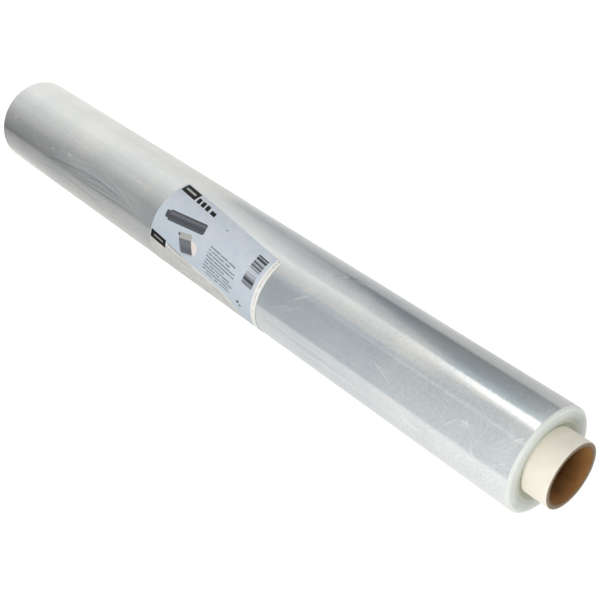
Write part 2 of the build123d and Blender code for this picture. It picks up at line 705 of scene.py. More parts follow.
@dataclass(frozen=True)
class BoardFinish:
    """Wound board of the core: cream outer paper, cut plies and brown bore."""

    paper: tuple[float, ...] = rgb(252, 246, 232)
    paper_stain: tuple[float, ...] = rgb(244, 237, 221)
    cut: tuple[float, ...] = rgb(172, 157, 136)
    cut_dark: tuple[float, ...] = rgb(108, 90, 72)
    bore: tuple[float, ...] = rgb(218, 158, 98)
    # Dark brown of the bore's mottle and seam, and of its painted shade deeper in
    bore_dark: tuple[float, ...] = rgb(94, 59, 20)
    # Reach in from each mouth over which the bore's painted shade fades out
    painted_shade_reach: float = 0.02
    fibre_scale: float = 1700.0
    cloud_scale: float = 120.0
    # Rise in one turn and width in metres, and the share of a turn where it starts
    paper_seam: tuple[float, float, float] = (0.105, 0.0007, 0.293)
    bore_seam: tuple[float, float, float] = (-0.093, 0.0009, 0.0)

    def fibres(self, w: Wiring) -> tuple[bpy.types.NodeSocket, bpy.types.NodeSocket]:
        """Wire the fibres and the cloudiness of board.

        Args:
            w: Wiring of the material.

        Returns:
            Fine fibres and coarse clouds, each from 0 to 1.
        """
        place = w.object_place()
        fine = w.noise(w.scaled(place, (1.0, 1.0, 0.45)), self.fibre_scale, 3.0, 0.6)
        coarse = w.noise(place, self.cloud_scale, 3.0, 0.55)
        return fine, coarse

    def seam(self, w: Wiring, lead: float, width: float, start: float) -> bpy.types.NodeSocket:
        """Wire the helical seam where one strip of paper meets the next.

        Args:
            w: Wiring of the material.
            lead: Rise of the seam in one turn, in metres.
            width: Width of the seam along the axis, in metres.
            start: Share of a turn by which the seam is turned.

        Returns:
            1 on the seam and 0 beside it.
        """
        x, y, z = w.parts(w.object_place())
        turn = w.math("DIVIDE", w.math("ARCTAN2", y, x), math.tau)
        along = w.math("ADD", w.math("DIVIDE", z, lead), start)
        phase = w.math("FRACT", w.math("ADD", along, turn))
        off = w.math("ABSOLUTE", w.math("SUBTRACT", phase, 0.5))
        half = width / lead / 2.0
        return w.fade(off, half * 0.4, half * 1.6, 1.0, 0.0)

    def outer_paper(self) -> bpy.types.Material:
        """Make the cream paper of the outside.

        Returns:
            The material.
        """
        w = Wiring("core_paper")
        fine, coarse = self.fibres(w)
        seam = self.seam(w, *self.paper_seam)
        colour = w.mix(w.fade(coarse, 0.35, 0.75, 0.0, 0.7), self.paper, self.paper_stain)
        colour = w.mix(w.math("MULTIPLY", seam, 0.5), colour, self.cut)
        normal = w.bump(fine, 0.00005, 0.6)
        normal = w.bump(w.math("SUBTRACT", 1.0, seam), 0.0001, 0.8, normal)
        return w.surface(Base_Color=colour, Roughness=0.72, Normal=normal)

    def cut_plies(self, inner: float, outer: float, plies: int) -> bpy.types.Material:
        """Make the cut end, on which each ply shows as a ring.

        Args:
            inner: Radius of the bore in metres.
            outer: Outer radius in metres.
            plies: Number of plies.

        Returns:
            The material.
        """
        w = Wiring("core_cut")
        fine, coarse = self.fibres(w)
        radius = w.axis_distance()
        share = w.math("DIVIDE", w.math("SUBTRACT", radius, inner), outer - inner)
        share = w.math("ADD", share, w.math("MULTIPLY", w.math("SUBTRACT", coarse, 0.5), 0.06))
        ply = w.math("FRACT", w.math("MULTIPLY", share, float(plies)))
        line = w.fade(w.math("ABSOLUTE", w.math("SUBTRACT", ply, 0.5)), 0.3, 0.48)
        colour = w.mix(w.fade(share, 0.0, 0.7), self.cut_dark, self.cut)
        colour = w.mix(w.math("MULTIPLY", line, 0.55), colour, self.cut_dark)
        colour = w.mix(w.fade(fine, 0.4, 0.65, 0.0, 0.6), colour, self.cut_dark)
        colour = w.mix(w.fade(share, 0.86, 0.94), colour, self.paper)
        normal = w.bump(fine, 0.00012, 0.8)
        return w.surface(Base_Color=colour, Roughness=0.85, Normal=normal)

    def brown_bore(self, half_length: float) -> bpy.types.Material:
        """Make the brown inner ply, darkened by painted shade deeper in the bore, away from its
        mouths.

        Args:
            half_length: Half of the core's length in metres.

        Returns:
            The material.
        """
        w = Wiring("core_bore")
        fine, coarse = self.fibres(w)
        seam = self.seam(w, *self.bore_seam)
        _, _, z = w.parts(w.object_place())
        from_middle = w.math("ABSOLUTE", w.math("SUBTRACT", z, half_length))
        depth = w.fade(from_middle, half_length - self.painted_shade_reach, half_length, 1.0, 0.0)
        mottle = w.math("MULTIPLY", w.math("ADD", fine, coarse), 0.5)
        dark = w.math("ADD", w.fade(mottle, 0.35, 0.7, 0.0, 0.45), w.math("MULTIPLY", depth, 0.75))
        colour = w.mix(w.math("MINIMUM", dark, 1.0), self.bore, self.bore_dark)
        colour = w.mix(w.math("MULTIPLY", seam, 0.6), colour, self.bore_dark)
        normal = w.bump(fine, 0.00008, 0.7)
        normal = w.bump(w.math("SUBTRACT", 1.0, seam), 0.00015, 0.9, normal)
        return w.surface(Base_Color=colour, Roughness=0.8, Normal=normal)


# Film


@dataclass(frozen=True)
class Crease:
    """A small ridge or fold in the outer turns.

    Attributes:
        height: Place along the roll in millimetres.
        azimuth: Place round the roll in degrees.
        length: Length in millimetres.
        slant: Angle to the way round the roll, in degrees.
        width: Half width in millimetres.
        rise: How far it stands proud, in millimetres.
        bow: How far its middle is bent sideways, in millimetres.
        white: How bright its thin line is, from -1 for dark to 1: a painted glint above 0 and
            painted shade below.
        line: Half width of that line, in millimetres.
    """

    height: float
    azimuth: float
    length: float
    slant: float
    width: float
    rise: float
    bow: float = 0.0
    white: float = 0.0
    line: float = 0.5

    def ridge(self, heights: np.ndarray, azimuths: np.ndarray, radius: float) -> np.ndarray:
        """Share of the crease's full rise at each place.

        Args:
            heights: Heights along the roll in millimetres.
            azimuths: Azimuths in degrees.
            radius: Radius of the film in millimetres.

        Returns:
            Shares from 0 to 1.
        """
        across = np.radians(way_round(azimuths, self.azimuth)) * radius
        up = heights - self.height
        slant = math.radians(self.slant)
        along = across * math.cos(slant) + up * math.sin(slant)
        side = up * math.cos(slant) - across * math.sin(slant)
        share = along / (self.length / 2.0)
        side = side + self.bow * (share**2 - BOW_CENTRE)
        return np.exp(-((side / self.width) ** 2) - share**4)


@dataclass
class FilmWinding:
    """All turns of film as one piece, with the turns on its ends and the free edge on its side."""

    name: str = "film_winding"
    inner_radius: float = 23.8
    outer_radius: float = 38.0
    bottom: float = 17.0
    top: float = 617.0
    rim_round: float = 2.556
    rim_overhang: float = 0.2
    well_depth: float = 1.8
    well_floor: float = 1.207
    well_width: float = 3.976
    turn_pitch: float = 0.92
    turns: int = 7
    first_turn_radius: float = 28.526
    groove_depth: float = 0.4
    tail_step: float = 0.24
    tail_azimuth: float = 37.5
    columns: int = 256
    # Upper end of each zone of the side and the distance between its rings
    ring_zones: tuple[tuple[float, float], ...] = (
        (244.0, 3.4),
        (390.0, 4.8),
        (415.0, 2.4),
        (617.0, 1.45),
    )
    # Angles of the rim's rings in degrees, from the flat to the side
    rim_angles: tuple[float, ...] = (90, 78, 66, 54, 42, 30, 18, 8, 0)
    # Section across one turn: how far out, and how deep as a share of the groove's depth
    groove_offsets: tuple[float, ...] = (0.0, 0.07, 0.175, 0.28, 0.35, 0.635)
    groove_depths: tuple[float, ...] = (0.0, 0.82, 1.0, 0.82, 0.0, -0.06)
    # Turns at each end of the groove over which it comes to its depth, as their inverse
    groove_run_out: float = 14.0
    # Angle in degrees that the step of the free edge takes up
    free_edge_width: float = 0.03
    # Distance below which points of the joined bands merge, and sharp edges' least angle
    weld: float = 0.002
    sharp_angle: float = 32.0
    # Long waves, then bands round the roll: number, lengths or widths, and heights
    wave_count: int = 9
    wave_lengths: tuple[float, float] = (60.0, 260.0)
    wave_heights: tuple[float, float] = (0.006, 0.02)
    band_count: int = 16
    band_widths: tuple[float, float] = (2.5, 9.0)
    band_heights: tuple[float, float] = (-0.02, 0.03)
    # Reach in millimetres over which the relief fades out at the ends and inwards
    calm_margin: float = 6.0
    relief_reach: float = 2.4
    # How far the side's finish goes in over the rim and up
    wall_finish_inwards: float = 1.1
    wall_finish_upwards: float = 0.25
    # Where the label presses the film flat
    label_heights: tuple[float, float] = (244.0, 390.0)
    label_azimuths: tuple[float, float] = (-128.0, 26.0)
    label_margins: tuple[float, float] = (6.0, 8.0)
    label_dip: float = 0.03
    seed: int = 11
    creases: list[Crease] = field(default_factory=list)

    @property
    def middle(self) -> float:
        """Height of the middle of the winding."""
        return (self.bottom + self.top) / 2.0

    def well_rings(self) -> list[tuple[float, float]]:
        """List the rings from the bore's mouth to the flat of the top end.

        Returns:
            Radius and height of each ring.
        """
        floor = self.top - self.well_depth
        floor_end = self.inner_radius + self.well_floor
        slope_end = self.inner_radius + self.well_width
        return [
            (self.inner_radius, floor),
            (floor_end - 0.5, floor + 0.01),
            (floor_end, floor + 0.12),
            (floor_end + 0.6, floor + 0.42),
            (slope_end - 0.6, self.top - 0.42),
            (slope_end, self.top - 0.12),
            (slope_end + 0.4, self.top),
        ]

    def rim_rings(self) -> list[tuple[float, float]]:
        """List the rings of the rolled rim, from the flat to the side.

        Returns:
            Radius and height of each ring.
        """
        centre_radius = self.outer_radius + self.rim_overhang - self.rim_round
        rings = []
        for angle in self.rim_angles:
            bend = math.radians(angle)
            radius = centre_radius + self.rim_round * math.cos(bend)
            height = self.top - self.rim_round + self.rim_round * math.sin(bend)
            rings.append((min(radius, self.outer_radius), height))
        return rings

    def spiral_band(self, inner: float, outer: float) -> bpy.types.Object:
        """Make the flat of the top end, on which the turns run as one true spiral.

        The rings of the mesh follow the spiral, so each ring meets the one a turn further out.

        Args:
            inner: Radius of the band's inner circle.
            outer: Radius of its outer circle.

        Returns:
            The band.
        """
        per_turn = len(self.groove_offsets)
        last = per_turn * (self.turns - 1) + per_turn - 2
        columns = self.columns
        points: list[tuple[float, float, float]] = []
        index: dict[tuple[int, int], int] = {}

        def put(radius: float, column: int, depth: float) -> int:
            """Add a point at a radius, column and depth, and return its index."""
            angle = math.tau * column / columns
            points.append((radius * math.cos(angle), radius * math.sin(angle), self.top - depth))
            return len(points) - 1

        for ring in range(last + 1):
            turn, step = divmod(ring, per_turn)
            shares_end = ring + per_turn <= last
            for column in range(columns if shares_end else columns + 1):
                along = turn + column / columns
                radius = self.first_turn_radius + self.turn_pitch * along
                radius += self.groove_offsets[step]
                from_ends = min(along, self.turns - along)
                fade = min(1.0, from_ends * self.groove_run_out)
                depth = self.groove_depth * self.groove_depths[step] * max(0.0, fade)
                index[ring, column] = put(radius, column, depth)

        def at(ring: int, column: int) -> int:
            """Return the index of a ring's point, which a turn further out may share."""
            if column == columns and ring + per_turn <= last:
                return index[ring + per_turn, 0]
            return index[ring, column]

        inner_ring = [put(inner, column, 0.0) for column in range(columns)]
        outer_ring = [put(outer, column, 0.0) for column in range(columns)]
        faces: list[list[int]] = []
        for column in range(columns):
            following = (column + 1) % columns
            for ring in range(last):
                corners = [at(ring, column), at(ring + 1, column)]
                corners += [at(ring + 1, column + 1), at(ring, column + 1)]
                faces.append(corners)
            inside = [inner_ring[column], at(0, column)]
            if column == columns - 1:
                inside += [at(0, columns)]
                inside += [at(ring, 0) for ring in range(per_turn - 1, -1, -1)]
            else:
                inside += [at(0, column + 1)]
            faces.append(inside + [inner_ring[following]])
            outside = [outer_ring[column]]
            if column == 0:
                outside += [at(ring, columns) for ring in range(last, last - per_turn, -1)]
            outside += [at(last, column), at(last, column + 1), outer_ring[following]]
            faces.append(outside)
        mesh = bpy.data.meshes.new("film_turns")
        mesh.from_pydata([tuple(part * MM for part in point) for point in points], [], faces)
        band = bpy.data.objects.new("film_turns", mesh)
        bpy.context.scene.collection.objects.link(band)
        return band

    def side_wall(self, low: float, high: float) -> bpy.types.Object:
        """Model the side as a tube cut into rings.

        Args:
            low: Height of its lower edge.
            high: Height of its upper edge.

        Returns:
            The tube.
        """
        deselect_all()
        bpy.ops.mesh.primitive_cylinder_add(
            vertices=self.columns,
            radius=self.outer_radius * MM,
            depth=(high - low) * MM,
            end_fill_type="NOTHING",
            location=(0.0, 0.0, (low + high) / 2.0 * MM),
        )
        wall = bpy.context.object
        wall.name = "film_side"
        bpy.ops.object.transform_apply(location=True, rotation=True, scale=True)
        bpy.ops.object.mode_set(mode="EDIT")
        bpy.ops.mesh.select_mode(type="EDGE")
        bpy.ops.mesh.select_all(action="DESELECT")
        shell = bmesh.from_edit_mesh(wall.data)
        for edge in shell.edges:
            lower, upper = edge.verts
            edge.select_set(abs(lower.co.z - upper.co.z) > MM)
        bmesh.update_edit_mesh(wall.data)
        heights = self.ring_heights(low, high)
        cuts = len(heights) - 2
        bpy.ops.mesh.subdivide_edgering(number_cuts=cuts, interpolation="LINEAR")
        bpy.ops.object.mode_set(mode="OBJECT")
        rows = places(wall)
        ring = np.rint((rows[:, 2] - low) / (high - low) * (cuts + 1)).astype(int)
        rows[:, 2] = heights[ring]
        set_places(wall, rows)
        return wall

    def ring_heights(self, low: float, high: float) -> np.ndarray:
        """Heights of the side's rings, which lie closest where the film is creased most.

        Args:
            low: Height of the lowest ring.
            high: Height of the highest ring.

        Returns:
            Heights in millimetres, upwards.
        """
        heights = [low]
        for zone_top, spacing in self.ring_zones:
            stop = min(zone_top, high)
            count = max(1, round((stop - heights[-1]) / spacing))
            heights.extend(np.linspace(heights[-1], stop, count + 1)[1:])
        return np.array(heights)

    def top_end(self) -> bpy.types.Object:
        """Model the top end: well, spiral of turns and rim.

        Returns:
            The top end.
        """
        well, rim = self.well_rings(), self.rim_rings()
        parts = [
            ringed_band("film_well", well, self.columns),
            ringed_band("film_rim", rim, self.columns),
            self.spiral_band(well[-1][0], rim[0][0]),
        ]
        pick(*parts)
        bpy.ops.object.join()
        return bpy.context.object

    def bottom_end(self, top_end: bpy.types.Object) -> bpy.types.Object:
        """Mirror a copy of the top end to the bottom.

        Args:
            top_end: Finished top end.

        Returns:
            The bottom end.
        """
        pick(top_end)
        bpy.ops.object.duplicate()
        end = bpy.context.object
        bpy.ops.object.mode_set(mode="EDIT")
        bpy.ops.mesh.select_all(action="SELECT")
        centre = (0.0, 0.0, self.middle * MM)
        bpy.ops.transform.resize(value=(1.0, 1.0, -1.0), center_override=centre)
        bpy.ops.object.mode_set(mode="OBJECT")
        return end

    def cut_free_edge(self, winding: bpy.types.Object) -> None:
        """Cut a second lengthwise edge right beside the first column, for the free edge's step.

        Args:
            winding: Joined winding, with the free edge still to be at azimuth 0.
        """
        tiny = math.radians(self.free_edge_width)
        beside = math.tau / self.columns * 1.5
        limit = (self.outer_radius - self.rim_round) * MM

        def wanted(place: Vector) -> bool:
            """Whether a place is on the side, next to the first column."""
            return abs(math.atan2(place.y, place.x)) < beside and place.xy.length > limit

        edit_vertices(winding, wanted)
        bpy.ops.mesh.bisect(
            plane_co=(0.0, 0.0, 0.0), plane_no=(math.sin(tiny), math.cos(tiny), 0.0)
        )
        bpy.ops.object.mode_set(mode="OBJECT")

    def outer_surface(self, turned: np.ndarray) -> np.ndarray:
        """Radius of the outer turn, which steps at the free edge.

        Args:
            turned: Angle past the free edge in degrees.

        Returns:
            Radius in millimetres.
        """
        shift = self.tail_step / 4.0
        wave = np.cos(np.radians(turned))
        first = self.outer_radius - 3.0 * shift - shift * wave
        second = self.outer_radius - shift + shift * wave
        return np.where(turned < 180.0, first, second)

    def surface_waves(self, heights: np.ndarray, azimuths: np.ndarray) -> np.ndarray:
        """Relief of the outer turns: long waves, faint bands and the creases.

        Args:
            heights: Heights along the roll in millimetres.
            azimuths: Azimuths in degrees.

        Returns:
            Relief in millimetres.
        """
        chance = random.Random(self.seed)
        relief = np.zeros_like(heights)
        for _ in range(self.wave_count):
            length = chance.uniform(*self.wave_lengths)
            round_count = chance.randint(1, 7)
            start = chance.uniform(0.0, math.tau)
            height = chance.uniform(*self.wave_heights)
            angle = math.tau * heights / length + np.radians(azimuths) * round_count + start
            relief += height * np.sin(angle)
        for _ in range(self.band_count):
            place = chance.uniform(self.bottom, self.top)
            width = chance.uniform(*self.band_widths)
            height = chance.uniform(*self.band_heights)
            relief += height * np.exp(-(((heights - place) / width) ** 2))
        for crease in self.creases:
            relief += crease.rise * crease.ridge(heights, azimuths, self.outer_radius)
        under_label = self.under_label(heights, azimuths)
        return relief * (1.0 - under_label) - self.label_dip * under_label

    def under_label(self, heights: np.ndarray, azimuths: np.ndarray) -> np.ndarray:
        """Share by which the film is pressed flat under the label.

        Args:
            heights: Heights along the roll in millimetres.
            azimuths: Azimuths in degrees.

        Returns:
            1 under the label and 0 away from it.
        """
        low, high = self.label_heights
        first, last = self.label_azimuths
        up_margin, round_margin = self.label_margins
        share = smooth_step(heights, low - up_margin, low)
        share *= 1.0 - smooth_step(heights, high, high + up_margin)
        half = (last - first) / 2.0
        off = np.abs(way_round(azimuths, (first + last) / 2.0))
        share *= 1.0 - smooth_step(off, half, half + round_margin)
        return share

    def build(self) -> bpy.types.Object:
        """Model the winding.

        Returns:
            The finished piece, without its finishes.
        """
        top_end = self.top_end()
        bottom_end = self.bottom_end(top_end)
        rim_low = self.rim_rings()[-1][1]
        wall = self.side_wall(2.0 * self.middle - rim_low, rim_low)
        bore = self.bore_wall()
        pick(top_end, bottom_end, wall, bore)
        bpy.ops.object.join()
        winding = bpy.context.object
        winding.name = self.name
        winding.data.name = self.name
        bpy.ops.object.mode_set(mode="EDIT")
        bpy.ops.mesh.select_all(action="SELECT")
        bpy.ops.mesh.remove_doubles(threshold=self.weld * MM)
        bpy.ops.object.mode_set(mode="OBJECT")
        self.cut_free_edge(winding)
        self.shape_side(winding)
        finish_mesh(winding, FINEST_WELD, self.sharp_angle)
        return winding

    def bore_wall(self) -> bpy.types.Object:
        """Model the bore of the winding, which the core fills.

        Returns:
            The bore.
        """
        height = self.well_rings()[0][1]
        low = 2.0 * self.middle - height
        rings = [(self.inner_radius, low), (self.inner_radius, height)]
        return ringed_band("film_bore", rings, self.columns)

    def shape_side(self, winding: bpy.types.Object) -> None:
        """Turn the winding to its free edge and give its side the step and the relief.

        Args:
            winding: Joined winding.
        """
        rows = places(winding)
        radii = np.hypot(rows[:, 0], rows[:, 1])
        turned = turned_angles(rows)
        turned = np.where(turned > FULL_TURN - 0.001, 0.0, turned)
        azimuths = turned + self.tail_azimuth
        outside = self.outer_surface(turned)
        inside_limit = self.outer_radius - self.relief_reach
        outer_share = smooth_step(radii, inside_limit, self.outer_radius)
        from_middle = np.abs(rows[:, 2] - self.middle)
        half = (self.top - self.bottom) / 2.0
        calm = 1.0 - smooth_step(from_middle, half - self.calm_margin, half - self.rim_round)
        relief = self.surface_waves(rows[:, 2], azimuths) * calm
        radii = radii + outer_share * (outside - self.outer_radius + relief)
        angle = np.radians(azimuths)
        rows[:, 0] = radii * np.cos(angle)
        rows[:, 1] = radii * np.sin(angle)
        set_places(winding, rows)

    def dress(self, winding: bpy.types.Object) -> None:
        """Give the side and the ends their finishes.

        Args:
            winding: Finished piece.
        """
        lined = [crease for crease in self.creases if crease.white != 0.0]
        wall = FilmWallFinish().material(self.top * MM, self.outer_radius, lined)
        end = FilmEndFinish().material(self.inner_radius * MM, self.outer_radius * MM)
        winding.data.materials.clear()
        winding.data.materials.append(wall)
        winding.data.materials.append(end)
        limit = (self.outer_radius - self.wall_finish_inwards) * MM
        half = (self.top - self.bottom) / 2.0
        reach = (half - self.rim_round + self.wall_finish_upwards) * MM
        for face in winding.data.polygons:
            on_end = abs(face.center.z - self.middle * MM) > reach
            face.material_index = 1 if on_end or face.center.xy.length < limit else 0


# Core


@dataclass
class BoardCore:
    """Wound board tube that carries the film."""

    name: str = "board_core"
    bore_radius: float = 20.0
    outer_radius: float = 23.75
    length: float = 634.0
    edge_break: float = 0.4
    plies: int = 8
    ply_step: float = 0.07
    # How far below a cut end its last ring lies
    end_reach: float = 30.0
    # Waves round a cut end, their depth, and how far below the end they reach
    saw_waves: tuple[int, ...] = (3, 7, 13, 22, 31)
    saw_depth: float = 0.03
    saw_reach: float = 0.35
    # Distance from bore or outside within which an upright face belongs to it
    wall_margin: float = 0.3
    sharp_angle: float = 40.0
    columns: int = 160
    seed: int = 5

    def end_rings(self) -> list[tuple[float, float]]:
        """List the rings over the top end, from outside to bore.

        Returns:
            Radius and height of each ring.
        """
        top = self.length
        rings = [
            (self.outer_radius, top - self.end_reach),
            (self.outer_radius, top - self.edge_break - 0.25),
            (self.outer_radius - 0.06, top - self.edge_break),
            (self.outer_radius - 0.26, top - 0.08),
            (self.outer_radius - self.edge_break - 0.04, top),
        ]
        start, stop = self.outer_radius - 0.5, self.bore_radius + self.edge_break + 0.1
        ply = (start - stop) / self.plies
        for index in range(self.plies):
            step = self.ply_step if index % 2 else 0.0
            outer, inner = start - index * ply, start - (index + 1) * ply
            rings.append((outer - 0.08, top - step))
            rings.append((inner + 0.02, top - step))
        rings += [
            (self.bore_radius + self.edge_break, top),
            (self.bore_radius + 0.12, top - 0.1),
            (self.bore_radius, top - self.edge_break),
            (self.bore_radius, top - 6.0),
            (self.bore_radius, top - self.end_reach),
        ]
        return rings

    def build(self) -> bpy.types.Object:
        """Model the tube.

        Returns:
            The finished piece, without its finishes.
        """
        rings = self.end_rings()
        rings += [(radius, self.length - height) for radius, height in reversed(rings)]
        core = ringed_band(self.name, rings, self.columns)
        core.data.name = self.name
        bpy.ops.object.mode_set(mode="EDIT")
        bpy.ops.mesh.select_all(action="DESELECT")
        bpy.ops.mesh.select_non_manifold()
        bpy.ops.mesh.bridge_edge_loops()
        bpy.ops.object.mode_set(mode="OBJECT")
        self.roughen_ends(core)
        finish_mesh(core, FINEST_WELD, self.sharp_angle)
        return core

    def roughen_ends(self, core: bpy.types.Object) -> None:
        """Move the points of the cut ends a little, as a saw leaves them.

        Args:
            core: The tube.
        """
        rows = places(core)
        angle = np.arctan2(rows[:, 1], rows[:, 0])
        radii = np.hypot(rows[:, 0], rows[:, 1])
        chance = random.Random(self.seed)
        wave = np.zeros_like(angle)
        for count in self.saw_waves:
            wave += np.sin(angle * count + chance.uniform(0.0, math.tau) + radii) / count
        half = self.length / 2.0
        from_middle = rows[:, 2] - half
        cut = np.abs(from_middle) > half - self.saw_reach
        rows[:, 2] -= cut * np.sign(from_middle) * (self.saw_depth + self.saw_depth * wave)
        set_places(core, rows)

    def dress(self, core: bpy.types.Object) -> None:
        """Give outside, cut ends and bore their finishes.

        Args:
            core: Finished piece.
        """
        board = BoardFinish()
        core.data.materials.clear()
        core.data.materials.append(board.outer_paper())
        core.data.materials.append(
            board.cut_plies(self.bore_radius * MM, self.outer_radius * MM, self.plies)
        )
        core.data.materials.append(board.brown_bore(self.length / 2.0 * MM))
        for face in core.data.polygons:
            radius = face.center.xy.length / MM
            upright = abs(face.normal.z) < 0.5
            if upright and radius < self.bore_radius + self.wall_margin:
                face.material_index = 2
            elif upright and radius > self.outer_radius - self.wall_margin:
                face.material_index = 0
            else:
                face.material_index = 1


# Label


@dataclass(frozen=True)
class PrintedField:
    """A plain printed rectangle on the label, in millimetres from the label's middle.

    Attributes:
        middle: Place along and across the label.
        size: Length and width.
        turn: Turn in degrees.
        colour: Colour of the ink.
        strength: Cover of the ink, from 0 to 1.
        soft: Softness of its edge.
        shear: Slide along for each millimetre across.
        round: Radius of its corners.
    """

    middle: tuple[float, float]
    size: tuple[float, float]
    colour: tuple[float, ...]
    turn: float = 0.0
    strength: float = 1.0
    soft: float = 0.25
    shear: float = 0.0
    round: float = 0.0


@dataclass(frozen=True)
class LabelFinish:
    """Coated paper with plain fields of print, and a cream corner with a whitish edge that is a
    painted reflection.
    """

    length: float
    height: float
    blue: tuple[float, ...] = rgb(220, 227, 233)
    blue_deep: tuple[float, ...] = rgb(209, 219, 231)
    blue_low: tuple[float, ...] = rgb(191, 203, 213)
    white: tuple[float, ...] = rgb(249, 248, 243)
    # Cream of the corner that is a painted reflection
    cream: tuple[float, ...] = rgb(217, 216, 210)
    cream_dark: tuple[float, ...] = rgb(193, 194, 190)
    ink: tuple[float, ...] = rgb(12, 12, 13)
    slate: tuple[float, ...] = rgb(96, 100, 112)
    grey: tuple[float, ...] = rgb(120, 124, 130)
    pale: tuple[float, ...] = rgb(214, 216, 214)
    shell: tuple[float, ...] = rgb(240, 232, 226)
    stone: tuple[float, ...] = rgb(184, 186, 182)
    lead: tuple[float, ...] = rgb(84, 87, 92)
    brown: tuple[float, ...] = rgb(122, 104, 96)
    # Rows of words: their pitch, where they start and stop along, and their reach across
    word_pitch: float = 2.55
    word_start: float = 2.2
    word_stops: tuple[float, float] = (28.0, 37.5)
    word_span: tuple[float, float] = (-20.6, 2.2)
    # Bars: their reach along and across, and the gap about their middle
    bars_along: tuple[float, float] = (44.4, 56.2)
    bars_across: tuple[float, float] = (-39.6, -14.4)
    bars_middle: float = -27.0
    bars_gap: float = 0.7

    def fields(self) -> list[PrintedField]:
        """List the printed rectangles, from the lowest layer to the highest.

        Returns:
            The rectangles.
        """
        roll, tile = -13.5, -19.0
        # Middle, size, colour, turn, strength, soft, shear, round
        return [
            PrintedField((-53.3, -40.5), (19.6, 7.9), self.ink),
            PrintedField((-53.6, -40.6), (13.4, 1.8), self.pale, strength=0.75),
            PrintedField((-54.2, 7.2), (19.6, 7.4), self.ink),
            PrintedField((-53.8, 7.0), (11.6, 1.3), self.pale, strength=0.55, soft=0.5),
            PrintedField((-39.2, -39.0), (4.4, 4.8), self.ink, shear=0.25, round=0.8),
            PrintedField((-33.0, -39.0), (4.6, 4.8), self.ink, shear=0.25, round=0.8),
            PrintedField((-26.8, -39.0), (4.6, 4.8), self.ink, shear=0.25, round=0.8),
            PrintedField((-18.4, -38.4), (6.4, 3.4), self.ink, shear=0.25),
            PrintedField((-54.2, -15.4), (4.0, 6.4), self.ink, roll, 0.85, round=1.9),
            PrintedField((-32.0, -20.4), (42.6, 8.8), self.lead, roll, round=2.0),
            PrintedField((-32.4, -22.4), (41.0, 2.2), self.grey, roll, 0.9, 1.3),
            PrintedField((-31.4, -17.4), (39.0, 0.8), self.grey, roll, 0.45, 0.6),
            PrintedField((-32.9, -24.3), (39.0, 0.5), self.ink, roll, 0.6),
            PrintedField((-25.6, -11.2), (14.4, 5.0), self.stone, tile, shear=0.11),
            PrintedField((-14.2, -6.9), (11.4, 11.4), self.shell, round=5.7),
            PrintedField((-21.6, -4.6), (14.2, 10.6), self.grey, tile, shear=0.28),
            PrintedField((-19.6, -2.0), (13.8, 5.2), self.lead, tile, 0.55, 1.6, 0.28),
            PrintedField((-32.6, -9.6), (2.2, 2.0), self.ink, strength=0.8),
            PrintedField((-32.8, 5.4), (17.4, 1.0), self.brown, 2.3, 0.8),
            PrintedField((-17.2, 6.4), (14.4, 0.8), self.brown, 5.3, 0.4),
            PrintedField((45.0, 2.9), (2.4, 2.0), self.ink),
            PrintedField((47.6, 5.1), (1.9, 1.6), self.ink),
            PrintedField((4.7, -36.2), (2.4, 1.2), self.slate, strength=0.6),
        ]

    def material(self) -> bpy.types.Material:
        """Make the material, which reads the label's own UV map.

        Returns:
            The material.
        """
        w = Wiring("label_paper")
        uv = w.node("UVMap", uv_map="label_face").outputs[0]
        centred = w.node("Mapping")
        w.feed(centred.inputs["Vector"], uv)
        centred.inputs["Location"].default_value = (-self.length / 2.0, -self.height / 2.0, 0.0)
        centred.inputs["Scale"].default_value = (self.length, self.height, 1.0)
        place = centred.outputs[0]
        u, v, _ = w.parts(place)
        tint = w.noise(place, 0.09, 3.0, 0.6)
        colour = w.mix(w.fade(tint, 0.25, 0.75), self.blue, self.blue_deep)
        colour = w.mix(w.fade(v, -34.0, 22.0), colour, self.blue_low)
        colour = self.edge_strip_and_painted_reflection(w, u, v, colour)
        colour = self.word_lines(w, u, v, colour)
        colour = self.bar_rows(w, u, v, colour)
        for each in self.fields():
            mask = self.rectangle(w, place, each)
            colour = w.mix(mask, colour, each.colour)
        fibre = w.noise(place, 3.2, 3.0, 0.6)
        normal = w.bump(fibre, 0.00003, 0.5)
        return w.surface(
            Base_Color=colour,
            Roughness=0.42,
            Specular_IOR_Level=0.16,
            Coat_Weight=0.04,
            Coat_Roughness=0.18,
            Normal=normal,
        )

    def edge_strip_and_painted_reflection(
        self, w: Wiring, u: object, v: object, colour: object
    ) -> bpy.types.NodeSocket:
        """Print the white strip at the near edge, and paint the cream corner with its whitish edge
        as a painted reflection.

        Args:
            w: Wiring of the material.
            u: Place along the label.
            v: Place across the label.
            colour: Colour below.

        Returns:
            Colour with both fields.
        """
